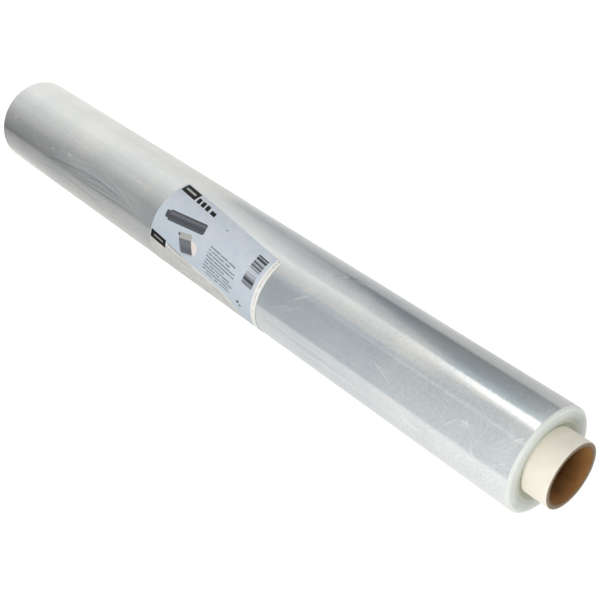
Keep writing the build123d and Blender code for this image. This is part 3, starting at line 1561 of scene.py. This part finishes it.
        # Painted reflection: a cream corner past a slanted edge, whitish along that edge.
        flare = w.fade(u, 26.0, 58.0, 5.4, 22.0)
        blur = w.fade(u, -14.0, 12.0, 0.7, 3.4)
        below = w.math("SUBTRACT", v, flare)
        corner = w.math("ADD", w.math("DIVIDE", below, blur), 0.5)
        place = w.node("CombineXYZ")
        w.feed(place.inputs[0], w.math("MULTIPLY", u, 0.2))
        w.feed(place.inputs[1], v)
        cloud = w.noise(place.outputs[0], 0.35, 4.0, 0.7)
        cream = w.mix(w.fade(cloud, 0.35, 0.62), self.cream, self.cream_dark)
        cream = w.mix(w.fade(below, 0.5, 3.5, 0.5, 0.0), cream, self.white)
        colour = w.mix(w.fade(corner, 0.0, 1.0), colour, cream)
        down = w.fade(v, -40.0, 34.0)
        start = w.math("ADD", w.math("MULTIPLY", down, 0.7), 59.6)
        over = w.math("SUBTRACT", u, start)
        colour = w.mix(w.fade(over, -0.4, 0.5), colour, self.white)
        dots = w.noise(place.outputs[0], 1.1, 1.0)
        off = w.math("ABSOLUTE", w.math("SUBTRACT", over, 2.5))
        line = w.fade(off, 0.1, 0.8, 0.7, 0.0)
        return w.mix(w.math("MULTIPLY", w.fade(dots, 0.42, 0.62), line), colour, self.brown)

    def word_lines(self, w: Wiring, u: object, v: object, colour: object) -> bpy.types.NodeSocket:
        """Print rows of plain dashes where a label has its small words.

        Args:
            w: Wiring of the material.
            u: Place along the label.
            v: Place across the label.
            colour: Colour below.

        Returns:
            Colour with the rows.
        """
        rows = w.math("DIVIDE", w.math("ADD", v, -self.word_span[0]), self.word_pitch)
        row = w.math("FLOOR", rows)
        share = w.math("ABSOLUTE", w.math("SUBTRACT", w.math("FRACT", rows), 0.5))
        line = w.fade(share, 0.2, 0.3, 1.0, 0.0)
        joined = w.node("CombineXYZ")
        w.feed(joined.inputs[0], u)
        w.feed(joined.inputs[1], w.math("MULTIPLY", row, 7.3))
        gaps = w.noise(joined.outputs[0], 0.42, 1.0, 0.5)
        letters = w.noise(joined.outputs[0], 1.6, 1.0, 0.5)
        word = w.math("MULTIPLY", w.fade(gaps, 0.36, 0.41), w.fade(letters, 0.3, 0.5, 0.45, 1.0))
        ends = w.node("TexWhiteNoise", noise_dimensions="1D")
        w.feed(ends.inputs["W"], row)
        stop = w.fade(ends.outputs["Value"], 0.0, 1.0, *self.word_stops)
        inside = self.block(w, u, v, (self.word_start, stop), self.word_span)
        mask = w.math("MULTIPLY", w.math("MULTIPLY", line, word), inside)
        return w.mix(w.math("MULTIPLY", mask, 0.72), colour, self.slate)

    def bar_rows(self, w: Wiring, u: object, v: object, colour: object) -> bpy.types.NodeSocket:
        """Print a block of plain bars of uneven width.

        Args:
            w: Wiring of the material.
            u: Place along the label.
            v: Place across the label.
            colour: Colour below.

        Returns:
            Colour with the bars.
        """
        bars = w.node("TexWhiteNoise", noise_dimensions="1D")
        w.feed(bars.inputs["W"], w.math("FLOOR", w.math("MULTIPLY", v, 2.3)))
        bar = w.math("GREATER_THAN", bars.outputs["Value"], 0.34)
        off_middle = w.math("ABSOLUTE", w.math("ADD", v, -self.bars_middle))
        centre_gap = w.math("GREATER_THAN", off_middle, self.bars_gap)
        inside = self.block(w, u, v, self.bars_along, self.bars_across)
        mask = w.math("MULTIPLY", w.math("MULTIPLY", bar, centre_gap), inside)
        return w.mix(w.math("MULTIPLY", mask, 0.88), colour, self.ink)

    def block(
        self,
        w: Wiring,
        u: object,
        v: object,
        along: tuple[float, object],
        across: tuple[float, float],
    ) -> bpy.types.NodeSocket:
        """Wire the mask of a sharp upright rectangle.

        Args:
            w: Wiring of the material.
            u: Place along the label.
            v: Place across the label.
            along: Where it starts and stops along the label.
            across: Where it starts and stops across the label.

        Returns:
            1 inside and 0 outside.
        """
        past_start = w.math("GREATER_THAN", u, along[0])
        inside = w.math("MULTIPLY", past_start, w.math("LESS_THAN", u, along[1]))
        inside = w.math("MULTIPLY", inside, w.math("GREATER_THAN", v, across[0]))
        return w.math("MULTIPLY", inside, w.math("LESS_THAN", v, across[1]))

    def rectangle(
        self, w: Wiring, place: bpy.types.NodeSocket, each: PrintedField
    ) -> bpy.types.NodeSocket:
        """Wire the mask of a printed rectangle.

        Args:
            w: Wiring of the material.
            place: Place on the label.
            each: The rectangle.

        Returns:
            Cover of the ink.
        """
        turned = w.node("Mapping", vector_type="TEXTURE")
        w.feed(turned.inputs["Vector"], place)
        turned.inputs["Location"].default_value = (*each.middle, 0.0)
        turned.inputs["Rotation"].default_value = (0.0, 0.0, math.radians(each.turn))
        u, v, _ = w.parts(turned.outputs[0])
        if each.shear:
            u = w.math("SUBTRACT", u, w.math("MULTIPLY", v, each.shear))
        half_u, half_v = (size / 2.0 - each.round for size in each.size)
        over_u = w.math("SUBTRACT", w.math("ABSOLUTE", u), half_u)
        over_v = w.math("SUBTRACT", w.math("ABSOLUTE", v), half_v)
        over = w.math("MAXIMUM", over_u, over_v)
        if each.round:
            out_u, out_v = w.math("MAXIMUM", over_u, 0.0), w.math("MAXIMUM", over_v, 0.0)
            square_u = w.math("MULTIPLY", out_u, out_u)
            square_v = w.math("MULTIPLY", out_v, out_v)
            reach = w.math("SQRT", w.math("ADD", square_u, square_v))
            over = w.math("ADD", reach, w.math("MINIMUM", over, 0.0))
            over = w.math("SUBTRACT", over, each.round)
        return w.fade(over, -each.soft, each.soft, each.strength, 0.0)


@dataclass
class PrintedLabel:
    """Paper sheet laid a little askew round the outer turn."""

    name: str = "printed_label"
    length: float = 130.0
    height: float = 90.0
    thickness: float = 0.12
    skew: float = 6.45
    azimuth: float = -51.5
    middle: float = 317.0
    seat_radius: float = 37.99
    seat_shift: float = 0.06
    tail_azimuth: float = 37.5
    cells: tuple[int, int] = (104, 72)
    # Reach and height of the lift at the near and the far edge, and waves across in radians
    lift_reaches: tuple[float, float] = (7.0, 5.0)
    lift_heights: tuple[float, float] = (0.16, 0.08)
    lift_wave: float = 0.16

    def build(self) -> bpy.types.Object:
        """Model the sheet flat, then lay it round the film.

        Returns:
            The finished piece, without its finish.
        """
        deselect_all()
        bpy.ops.mesh.primitive_grid_add(
            x_subdivisions=self.cells[0], y_subdivisions=self.cells[1], size=MM
        )
        sheet = bpy.context.object
        sheet.name = self.name
        sheet.data.name = self.name
        sheet.data.uv_layers[0].name = "label_face"
        bpy.ops.transform.resize(value=(self.length, self.height, 1.0))
        bpy.ops.object.transform_apply(location=True, rotation=True, scale=True)
        self.lay_round(sheet)
        self.thicken(sheet)
        return sheet

    def lay_round(self, sheet: bpy.types.Object) -> None:
        """Bend the flat sheet round the film, with a slight lift along its edges.

        Args:
            sheet: Flat sheet in the XY plane.
        """
        rows = places(sheet)
        along, across = rows[:, 0], rows[:, 1]
        skew = math.radians(self.skew)
        rise = along * math.cos(skew) - across * math.sin(skew)
        arc = along * math.sin(skew) + across * math.cos(skew)
        radius = self.seat_radius + self.lift(along, across)
        angle = math.radians(self.azimuth) + arc / self.seat_radius
        tail = math.radians(self.tail_azimuth)
        rows[:, 0] = radius * np.cos(angle) + self.seat_shift * math.cos(tail)
        rows[:, 1] = radius * np.sin(angle) + self.seat_shift * math.sin(tail)
        rows[:, 2] = self.middle + rise
        set_places(sheet, rows)

    def lift(self, along: np.ndarray, across: np.ndarray) -> np.ndarray:
        """How far the sheet stands off the film.

        Args:
            along: Places along the sheet.
            across: Places across the sheet.

        Returns:
            Lift in millimetres.
        """
        half = self.length / 2.0
        near_reach, far_reach = self.lift_reaches
        near_height, far_height = self.lift_heights
        near_edge = smooth_step(along, half - near_reach, half)
        far_edge = smooth_step(-along, half - far_reach, half)
        waves = 0.5 + 0.5 * np.sin(across * self.lift_wave + 0.8)
        return near_height * near_edge * waves + far_height * far_edge * (1.0 - waves)

    def thicken(self, sheet: bpy.types.Object) -> None:
        """Give the sheet its thickness, outwards from the film.

        Args:
            sheet: Sheet laid round the film.
        """
        pick(sheet)
        bpy.ops.object.mode_set(mode="EDIT")
        bpy.ops.mesh.select_all(action="SELECT")
        middle_face = sheet.data.polygons[len(sheet.data.polygons) // 2]
        outwards = middle_face.normal.xy.dot(middle_face.center.xy) > 0.0
        if not outwards:
            bpy.ops.mesh.flip_normals()
        bpy.ops.object.mode_set(mode="OBJECT")
        solid = sheet.modifiers.new("paper", "SOLIDIFY")
        solid.thickness = self.thickness * MM
        solid.offset = 1.0
        bpy.ops.object.modifier_apply(modifier=solid.name)
        bpy.ops.object.shade_smooth_by_angle(angle=math.radians(40.0))
        deselect_all()

    def dress(self, sheet: bpy.types.Object) -> None:
        """Give the sheet its print.

        Args:
            sheet: Finished piece.
        """
        sheet.data.materials.clear()
        sheet.data.materials.append(LabelFinish(self.length, self.height).material())


# Studio


@dataclass
class PhotoCamera:
    """Camera that sees the roll as the photograph does."""

    place: tuple[float, float, float] = (0.0, -0.6434, 0.8833)
    right: tuple[float, float, float] = (-0.55551, 0.50759, 0.65860)
    down: tuple[float, float, float] = (0.83150, 0.33548, 0.44279)
    forward: tuple[float, float, float] = (0.00381, 0.79360, -0.60842)
    lens: float = 66.44
    sensor: float = 36.0

    def build(self) -> None:
        """Set up the camera."""
        data = bpy.data.cameras.new("photo_camera")
        data.lens = self.lens
        data.sensor_width = self.sensor
        data.clip_start = 0.01
        camera = bpy.data.objects.new("photo_camera", data)
        bpy.context.scene.collection.objects.link(camera)
        axes = (Vector(self.right), -Vector(self.down), -Vector(self.forward))
        turn = Matrix([axis.normalized() for axis in axes]).transposed().to_4x4()
        camera.matrix_world = Matrix.Translation(self.place) @ turn
        bpy.context.scene.camera = camera


@dataclass(frozen=True)
class Softbox:
    """A square soft lamp that lights the roll but isn't mirrored in it.

    Attributes:
        name: Name of the lamp.
        place: Its place in metres.
        aim: Height on the roll's axis that it faces, in metres.
        size: Its side in metres.
        power: Power in watts.
    """

    name: str
    place: tuple[float, float, float]
    aim: float
    size: float
    power: float


@dataclass(frozen=True)
class FloorCard:
    """A low card beside the roll that shows only as a reflection in the film.

    It lies where the film mirrors it to the camera. Bearings go round the roll from -Y towards +X.

    Attributes:
        name: Name of the card.
        heights: Upper and lower height on the roll at which it is mirrored, in metres.
        upper: Bearings of its two sides at the upper height, in degrees.
        lower: Bearings of its two sides at the lower height.
        upper_tones: Brightness of its two sides at the upper height, where 1 is white.
        lower_tones: Brightness of its two sides at the lower height.
        tint: Colour of white on it.
        lift: Height above the floor, in metres.
    """

    name: str
    heights: tuple[float, float]
    upper: tuple[float, float]
    lower: tuple[float, float]
    upper_tones: tuple[float, float]
    lower_tones: tuple[float, float]
    tint: tuple[float, float, float] = WHITE
    lift: float = CARD_LIFT

    def tone(self, down: float, over: float) -> tuple[float, ...]:
        """Find the colour of a spot on the card.

        Args:
            down: Share of the way from the upper to the lower height.
            over: Share of the way from the first to the second side.

        Returns:
            Linear colour with full alpha.
        """
        first = self.upper_tones[0] + (self.lower_tones[0] - self.upper_tones[0]) * down
        last = self.upper_tones[1] + (self.lower_tones[1] - self.upper_tones[1]) * down
        brightness = first + (last - first) * over
        return (*(brightness * part for part in self.tint), 1.0)

    def spot(self, bearing: float, height: float, radius: float) -> tuple[float, float, float]:
        """Find the place at the card's level that a spot of the film mirrors to the camera.

        Args:
            bearing: Bearing of the spot in degrees.
            height: Height of the spot in metres.
            radius: Radius of the film in metres.

        Returns:
            The place.
        """
        turn = math.radians(bearing)
        outwards = Vector((math.sin(turn), -math.cos(turn), 0.0))
        spot = outwards * radius + Vector((0.0, 0.0, height))
        view = spot - Vector(PhotoCamera.place)
        mirrored = view - outwards * 2.0 * view.dot(outwards)
        reach = (self.lift - height) / mirrored.z
        return tuple(spot + mirrored * max(0.0, reach))


@dataclass
class Studio:
    """Pale floor, soft lamps, white surroundings and cards."""

    floor_size: float = 12.0
    floor_drop: float = 0.0004
    floor_tone: float = 0.82
    floor_glow: float = 0.62
    film_radius: float = 0.038
    world_light: float = 0.42
    card_cells: int = 14
    softboxes: tuple[Softbox, ...] = (
        Softbox("key_softbox", (0.95, -0.75, 1.05), aim=0.5, size=0.9, power=10.0),
        Softbox("fill_softbox", (-1.3, -1.2, 1.4), aim=0.4, size=1.2, power=7.0),
        Softbox("top_softbox", (-0.3, 0.3, 2.0), aim=0.4, size=1.2, power=2.5),
    )
    cards: list[FloorCard] = field(default_factory=list)

    def build(self) -> None:
        """Set up the studio."""
        bpy.context.scene.view_settings.view_transform = "Standard"
        self.floor()
        self.world()
        for softbox in self.softboxes:
            self.lamp(softbox)
        for card in self.cards:
            self.card(card)

    def floor(self) -> None:
        """Lay the pale floor, which looks white and keeps the shadow."""
        deselect_all()
        bpy.ops.mesh.primitive_plane_add(
            size=self.floor_size, location=(0.0, 0.0, -self.floor_drop)
        )
        plane = bpy.context.object
        plane.name = "studio_floor"
        w = Wiring("studio_floor")
        seen = self.seen_directly(w)
        diffuse = w.node("BsdfDiffuse")
        diffuse.inputs["Color"].default_value = (*(self.floor_tone,) * 3, 1.0)
        glow = w.node("Emission")
        w.feed(glow.inputs["Strength"], w.math("MULTIPLY", seen, self.floor_glow))
        both = w.node("AddShader")
        w.feed(both.inputs[0], diffuse.outputs[0])
        w.feed(both.inputs[1], glow.outputs[0])
        output = w.node("OutputMaterial")
        w.feed(output.inputs["Surface"], both.outputs[0])
        plane.data.materials.append(w.material)

    def seen_directly(self, w: Wiring) -> bpy.types.NodeSocket:
        """Wire 1 for what the camera sees directly, in gloss or through glass, and 0 otherwise.

        Args:
            w: Wiring of the material.

        Returns:
            The factor.
        """
        path = w.node("LightPath")
        seen = w.math("MAXIMUM", path.outputs["Is Camera Ray"], path.outputs["Is Glossy Ray"])
        return w.math("MAXIMUM", seen, path.outputs["Is Transmission Ray"])

    def world(self) -> None:
        """Surround the scene with white that lights it softly."""
        w = WorldWiring("studio_world")
        strength = w.node("MapRange")
        w.feed(strength.inputs[0], self.seen_directly(w))
        strength.inputs["To Min"].default_value = self.world_light
        strength.inputs["To Max"].default_value = 1.0
        background = w.node("Background")
        background.inputs["Color"].default_value = (*WHITE, 1.0)
        w.feed(background.inputs["Strength"], strength.outputs[0])
        output = w.node("OutputWorld")
        w.feed(output.inputs["Surface"], background.outputs[0])
        bpy.context.scene.world = w.world

    def lamp(self, softbox: Softbox) -> None:
        """Hang a softbox.

        Args:
            softbox: The lamp.
        """
        data = bpy.data.lights.new(softbox.name, "AREA")
        data.shape = "RECTANGLE"
        data.size = data.size_y = softbox.size
        data.energy = softbox.power
        lamp = bpy.data.objects.new(softbox.name, data)
        bpy.context.scene.collection.objects.link(lamp)
        lamp.location = softbox.place
        aim_way = Vector((0.0, 0.0, softbox.aim)) - Vector(softbox.place)
        lamp.rotation_mode = "QUATERNION"
        lamp.rotation_quaternion = aim_way.to_track_quat("-Z", "Y")
        lamp.visible_glossy = False

    def card(self, card: FloorCard) -> None:
        """Lay a card low beside the roll.

        Args:
            card: The card.
        """
        cells = self.card_cells
        points, tones, faces = [], [], []
        for row in range(cells + 1):
            down = row / cells
            height = card.heights[0] + (card.heights[1] - card.heights[0]) * down
            first = card.upper[0] + (card.lower[0] - card.upper[0]) * down
            last = card.upper[1] + (card.lower[1] - card.upper[1]) * down
            for column in range(cells + 1):
                bearing = first + (last - first) * column / cells
                points.append(card.spot(bearing, height, self.film_radius))
                tones.append(card.tone(down, column / cells))
        width = cells + 1
        for row in range(cells):
            for column in range(cells):
                corner = row * width + column
                faces.append((corner, corner + 1, corner + width + 1, corner + width))
        mesh = bpy.data.meshes.new(card.name)
        mesh.from_pydata(points, [], faces)
        colours = mesh.color_attributes.new("tone", "FLOAT_COLOR", "POINT")
        for index, tone in enumerate(tones):
            colours.data[index].color = tone
        piece = bpy.data.objects.new(card.name, mesh)
        bpy.context.scene.collection.objects.link(piece)
        w = Wiring(card.name)
        glow = w.node("Emission")
        w.feed(glow.inputs["Color"], w.node("Attribute", attribute_name="tone").outputs["Color"])
        output = w.node("OutputMaterial")
        w.feed(output.inputs["Surface"], glow.outputs[0])
        mesh.materials.append(w.material)
        piece.visible_camera = False
        piece.visible_diffuse = False
        piece.visible_shadow = False
        piece.visible_transmission = False


def film_creases() -> list[Crease]:
    """List the creases, scratches and bubbles that the film shows, then small chance ones.

    Returns:
        The creases.
    """
    # Height, azimuth, length, slant, width, rise, bow, white, line
    # A white above 0 paints a glint on the crease's line, and below 0 paints shade.
    placed = [
        Crease(432.0, -137.0, 5.5, 137.0, 1.8, 0.08, 0.9, 0.95, 0.45),
        Crease(424.0, -126.0, 7.5, 169.0, 1.8, 0.05, 1.0, 0.35, 0.6),
        Crease(432.5, -126.5, 9.5, 153.0, 1.8, 0.05, 1.4, 0.35, 0.6),
        Crease(438.0, -125.5, 8.0, 139.0, 1.8, 0.04, 1.4, 0.20, 0.6),
        Crease(427.0, -117.0, 9.0, 150.0, 1.9, -0.05, 0.8, 0.14, 0.8),
        Crease(420.0, -99.0, 10.0, 143.0, 1.8, 0.05, 0.4, 0.34, 0.7),
        Crease(416.5, -103.0, 8.0, 138.0, 1.8, 0.03, 0.8, 0.20, 0.7),
        Crease(425.0, -99.0, 11.5, 144.0, 1.8, 0.04, 0.7, 0.22, 0.7),
        Crease(418.0, -87.0, 13.0, 130.0, 1.8, 0.04, 0.0, 0.28, 0.8),
        Crease(433.5, -102.5, 12.0, 144.0, 1.8, 0.03, 0.6, 0.12, 0.9),
        Crease(406.5, -67.5, 18.5, 121.0, 1.8, 0.03, 0.7, 0.16, 1.0),
        Crease(415.0, -70.5, 20.0, 125.0, 1.8, 0.03, 0.7, 0.14, 1.0),
        Crease(440.0, -144.0, 12.0, 115.0, 1.8, -0.06, 1.9, -0.30, 0.8),
        Crease(428.0, -133.0, 9.0, 140.0, 1.8, -0.04, 0.8, -0.25, 0.6),
        Crease(504.2, -71.5, 19.6, 70.0, 1.7, 0.04, 0.8, 0.42, 0.45),
        Crease(506.5, -73.5, 13.0, 72.0, 1.7, 0.02, 0.5, 0.2, 0.35),
        Crease(531.7, -39.5, 7.0, 67.0, 1.9, 0.08, 0.5, 0.9, 0.9),
        Crease(539.2, -38.9, 9.0, 79.0, 1.8, 0.08, -0.6, 0.8, 0.8),
        Crease(573.7, -76.4, 5.0, 100.0, 2.0, 0.07, 0.8, 0.9, 0.5),
        Crease(573.0, -75.0, 4.0, 20.0, 2.0, 0.05, 0.8, 0.7, 0.4),
        Crease(576.0, -77.0, 3.5, 40.0, 2.0, 0.05, -0.5, 0.6, 0.4),
        Crease(565.0, -68.0, 15.5, 141.0, 1.8, 0.03, 0.9, 0.32, 0.4),
        Crease(586.5, -55.5, 10.5, 35.0, 1.8, 0.05, -1.3, 0.55, 0.45),
        Crease(585.3, -49.0, 7.0, 56.0, 1.8, 0.06, -0.3, 0.55, 0.5),
        Crease(610.0, -91.0, 7.5, 136.0, 1.8, 0.04, 0.9, 0.60, 0.35),
        Crease(605.0, -81.0, 13.5, 147.0, 1.8, 0.02, 0.5, 0.22, 0.35),
        Crease(607.5, -78.0, 13.5, 147.0, 1.8, 0.02, 0.8, 0.20, 0.35),
        Crease(601.5, -82.5, 13.0, 149.0, 1.8, 0.02, 0.7, 0.20, 0.35),
        Crease(597.0, -73.0, 12.0, 150.0, 1.8, 0.02, 0.5, 0.14, 0.35),
        Crease(607.5, -63.0, 5.0, 123.0, 1.8, 0.05, 1.2, 0.50, 0.4),
        Crease(560.0, -36.0, 10.0, 25.0, 2.0, 0.06, 0.6, 0.4, 0.8),
        Crease(577.0, -41.0, 9.0, 140.0, 1.8, 0.06, 0.6, 0.4, 0.7),
        Crease(101.5, -69.4, 6.0, 112.0, 2.0, 0.03, 0.8, 0.34, 0.5),
        Crease(103.0, -66.5, 4.0, 60.0, 2.0, 0.03, 0.6, 0.22, 0.5),
        Crease(126.8, -75.2, 6.5, 76.0, 2.2, 0.04, 0.8, 0.46, 0.7),
        Crease(124.0, -73.5, 4.0, 40.0, 2.0, 0.03, 0.8, 0.28, 0.5),
        Crease(113.0, -83.3, 4.5, 96.0, 2.0, 0.03, 0.5, 0.30, 0.6),
        Crease(35.0, -76.0, 5.0, 74.0, 2.0, 0.05, 0.0, 0.35, 0.7),
        Crease(218.3, -95.0, 5.0, 80.0, 2.0, 0.05, 0.4, 0.5, 0.8),
        Crease(72.7, -69.0, 17.0, 43.0, 1.8, 0.03, -0.3, 0.16, 0.5),
        Crease(113.0, -69.0, 16.5, 143.0, 1.8, 0.03, 1.9, 0.14, 0.5),
        Crease(182.0, -76.0, 90.0, 85.0, 1.2, 0.03, 7.4, 0.17, 0.5),
        Crease(171.0, -68.8, 100.0, 90.0, 1.2, 0.03, 4.2, 0.20, 0.5),
        Crease(161.5, -62.5, 59.0, 98.0, 1.2, -0.03, -0.9, 0.18, 0.5),
        Crease(172.7, -60.3, 69.0, 93.0, 1.2, 0.03, 1.1, 0.20, 0.5),
        Crease(157.5, -57.0, 77.0, 92.0, 1.2, -0.03, -0.9, 0.17, 0.5),
        Crease(188.0, -57.8, 68.0, 93.0, 1.2, 0.03, 1.0, 0.18, 0.5),
        Crease(211.7, -69.9, 44.0, 77.0, 1.2, 0.03, 0.7, 0.15, 0.5),
        Crease(218.0, -73.8, 41.0, 76.0, 1.2, 0.03, 1.9, 0.14, 0.5),
        Crease(165.0, -65.5, 80.0, 92.0, 1.2, -0.03, 2.2, -0.26, 0.6),
        Crease(164.0, -59.4, 76.0, 93.0, 1.2, -0.03, 0.8, -0.30, 0.7),
        Crease(180.0, -55.6, 90.0, 92.0, 1.2, -0.03, 0.0, -0.26, 0.7),
        Crease(120.0, -60.0, 50.0, 96.0, 1.2, -0.03, 1.5, -0.24, 1.1),
        Crease(146.0, -63.5, 46.0, 97.0, 1.2, 0.02, -1.2, 0.14, 0.4),
        Crease(176.0, -67.0, 52.0, 88.0, 1.2, -0.02, 1.4, -0.18, 0.5),
        Crease(142.0, -57.5, 40.0, 99.0, 1.2, 0.02, 0.9, 0.14, 0.4),
        Crease(150.0, -41.7, 68.0, 87.0, 1.2, -0.04, 0.0, -0.20, 0.9),
        Crease(100.0, -41.0, 38.0, 93.0, 1.2, -0.03, 1.9, -0.20, 0.8),
        Crease(455.0, -34.0, 90.0, 92.0, 1.4, 0.03, 1.0, 0.22, 1.0),
        Crease(430.0, -40.0, 80.0, 89.0, 1.4, -0.03, -0.8, -0.14, 1.0),
        Crease(470.0, -27.0, 110.0, 91.0, 1.4, -0.03, 0.8, -0.08, 1.2),
        Crease(440.0, -45.0, 60.0, 92.0, 1.4, 0.02, 0.6, 0.14, 0.8),
    ]
    chance = random.Random(CREASE_SEED)
    upper_front = (22, (470.0, 606.0), (-98.0, -30.0))
    all_round = (60, (40.0, 606.0), (0.0, FULL_TURN))
    for count, heights, azimuths in (upper_front, all_round):
        for _ in range(count):
            placed.append(
                Crease(
                    height=chance.uniform(*heights),
                    azimuth=chance.uniform(*azimuths),
                    length=chance.uniform(8.0, 26.0),
                    slant=chance.uniform(0.0, 180.0),
                    width=chance.uniform(1.8, 3.0),
                    rise=chance.uniform(-0.03, 0.03),
                    bow=chance.uniform(-3.0, 3.0),
                )
            )
    return placed


def strip(
    name: str,
    heights: tuple[float, float],
    sides: tuple[float, float],
    upper_tones: tuple[float, float],
    lower_tones: tuple[float, float],
    tint: tuple[float, float, float] = WHITE,
    lift: float = CARD_LIFT,
) -> FloorCard:
    """Make a card whose sides keep their bearings from its upper to its lower height.

    Args:
        name: Name of the card.
        heights: Upper and lower height on the roll at which it is mirrored, in metres.
        sides: Bearings of its two sides, in degrees.
        upper_tones: Brightness of its two sides at the upper height.
        lower_tones: Brightness of its two sides at the lower height.
        tint: Colour of white on it.
        lift: Height above the floor, in metres.

    Returns:
        The card.
    """
    return FloorCard(name, heights, sides, sides, upper_tones, lower_tones, tint, lift)


def studio_cards() -> list[FloorCard]:
    """List the cards whose reflections run along the film.

    Returns:
        The cards.
    """
    near, top, low, far = (0.640, 0.300), (0.640, 0.536), (0.540, 0.300), (0.300, 0.004)
    cool, cold, warm = (0.94, 1.01, 1.07), (0.80, 1.0, 1.12), (1.03, 1.0, 0.96)
    under, over = 0.002, 0.005
    return [
        strip("back", near, (-92.0, -53.0), (0.74, 0.40), (1.04, 0.47)),
        strip("dark", top, (-53.0, -33.0), (0.15, 0.31), (0.12, 0.21), cold),
        strip("dark_side", top, (-33.0, -25.0), (0.31, 0.55), (0.21, 0.50), cold),
        strip("grey", low, (-53.0, -25.0), (0.08, 0.56), (0.58, 1.08), lift=under),
        FloorCard(
            "dark_wedge",
            heights=(0.540, 0.430),
            upper=(-53.0, -28.0),
            lower=(-53.0, -50.0),
            upper_tones=(0.06, 0.28),
            lower_tones=(0.15, 0.26),
            tint=cold,
        ),
        FloorCard(
            "shine",
            heights=(0.640, 0.540),
            upper=(-25.0, -15.0),
            lower=(-24.3, -20.6),
            upper_tones=(1.75, 1.65),
            lower_tones=(1.50, 1.3),
            lift=over,
        ),
        strip("shine_side", top, (-25.0, -14.5), (0.85, 0.72), (0.80, 0.68), warm),
        strip("soft", low, (-25.0, -6.0), (0.81, 0.64), (1.21, 0.57), warm),
        strip("front_left", near, (-15.0, 0.5), (0.39, 0.46), (0.92, 0.36), cool, under),
        strip("front", near, (0.0, 36.5), (0.54, 0.74), (0.24, 0.29), cool, under),
        FloorCard(
            "bright_line",
            heights=(0.640, 0.40),
            upper=(-1.3, 1.3),
            lower=(-3.8, -1.0),
            upper_tones=(0.70, 0.70),
            lower_tones=(0.47, 0.47),
            tint=cool,
            lift=over,
        ),
        strip("right", near, (36.5, 92.0), (1.05, 0.81), (0.60, 0.75)),
        strip("far_left", far, (-92.0, -28.0), (0.62, 1.00), (0.95, 1.07), warm),
        strip("far_soft", far, (-28.0, -7.0), (0.98, 0.59), (1.06, 0.71), warm),
        strip("far_front", far, (-7.0, 12.0), (0.59, 0.25), (0.76, 0.34), warm, under),
        strip("far_dark", (0.300, 0.110), (12.0, 36.4), (0.24, 0.35), (0.40, 0.14)),
        strip("far_deep", (0.110, 0.004), (12.0, 36.4), (0.24, 0.13), (0.33, 0.02), warm),
        strip("far_right", far, (36.4, 92.0), (0.49, 0.68), (0.22, 1.02), warm, under),
        strip("far_edge", (0.100, 0.004), (67.0, 92.0), (0.60, 0.88), (0.80, 1.30), warm),
    ]


def place_piece(piece: bpy.types.Object, node: str, slot: MaterialSlot) -> None:
    """Let a piece ride on the roll's body in the place of a CAD node.

    Args:
        piece: Finished piece.
        node: CAD node that it replaces.
        slot: Material slot of the record; not used.
    """
    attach(piece, ROOT_BODY)
    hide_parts(node)
    piece.data.calc_loop_triangles()
    log.info("%s stands for %s: %d triangles", piece.name, node, len(piece.data.loop_triangles))


def main() -> None:
    """Build camera, roll and studio."""
    logging.basicConfig(level=logging.INFO, format="%(name)s: %(message)s")
    PhotoCamera().build()
    core = BoardCore()
    core_piece = core.build()
    core.dress(core_piece)
    place_piece(core_piece, "core_tube", MaterialSlot.CORE)
    film = FilmWinding(creases=film_creases())
    film_piece = film.build()
    film.dress(film_piece)
    place_piece(film_piece, "film_roll", MaterialSlot.FILM)
    label = PrintedLabel()
    label_piece = label.build()
    label.dress(label_piece)
    place_piece(label_piece, "label", MaterialSlot.LABEL)
    Studio(cards=studio_cards()).build()


if __name__ == "__main__":
    main()
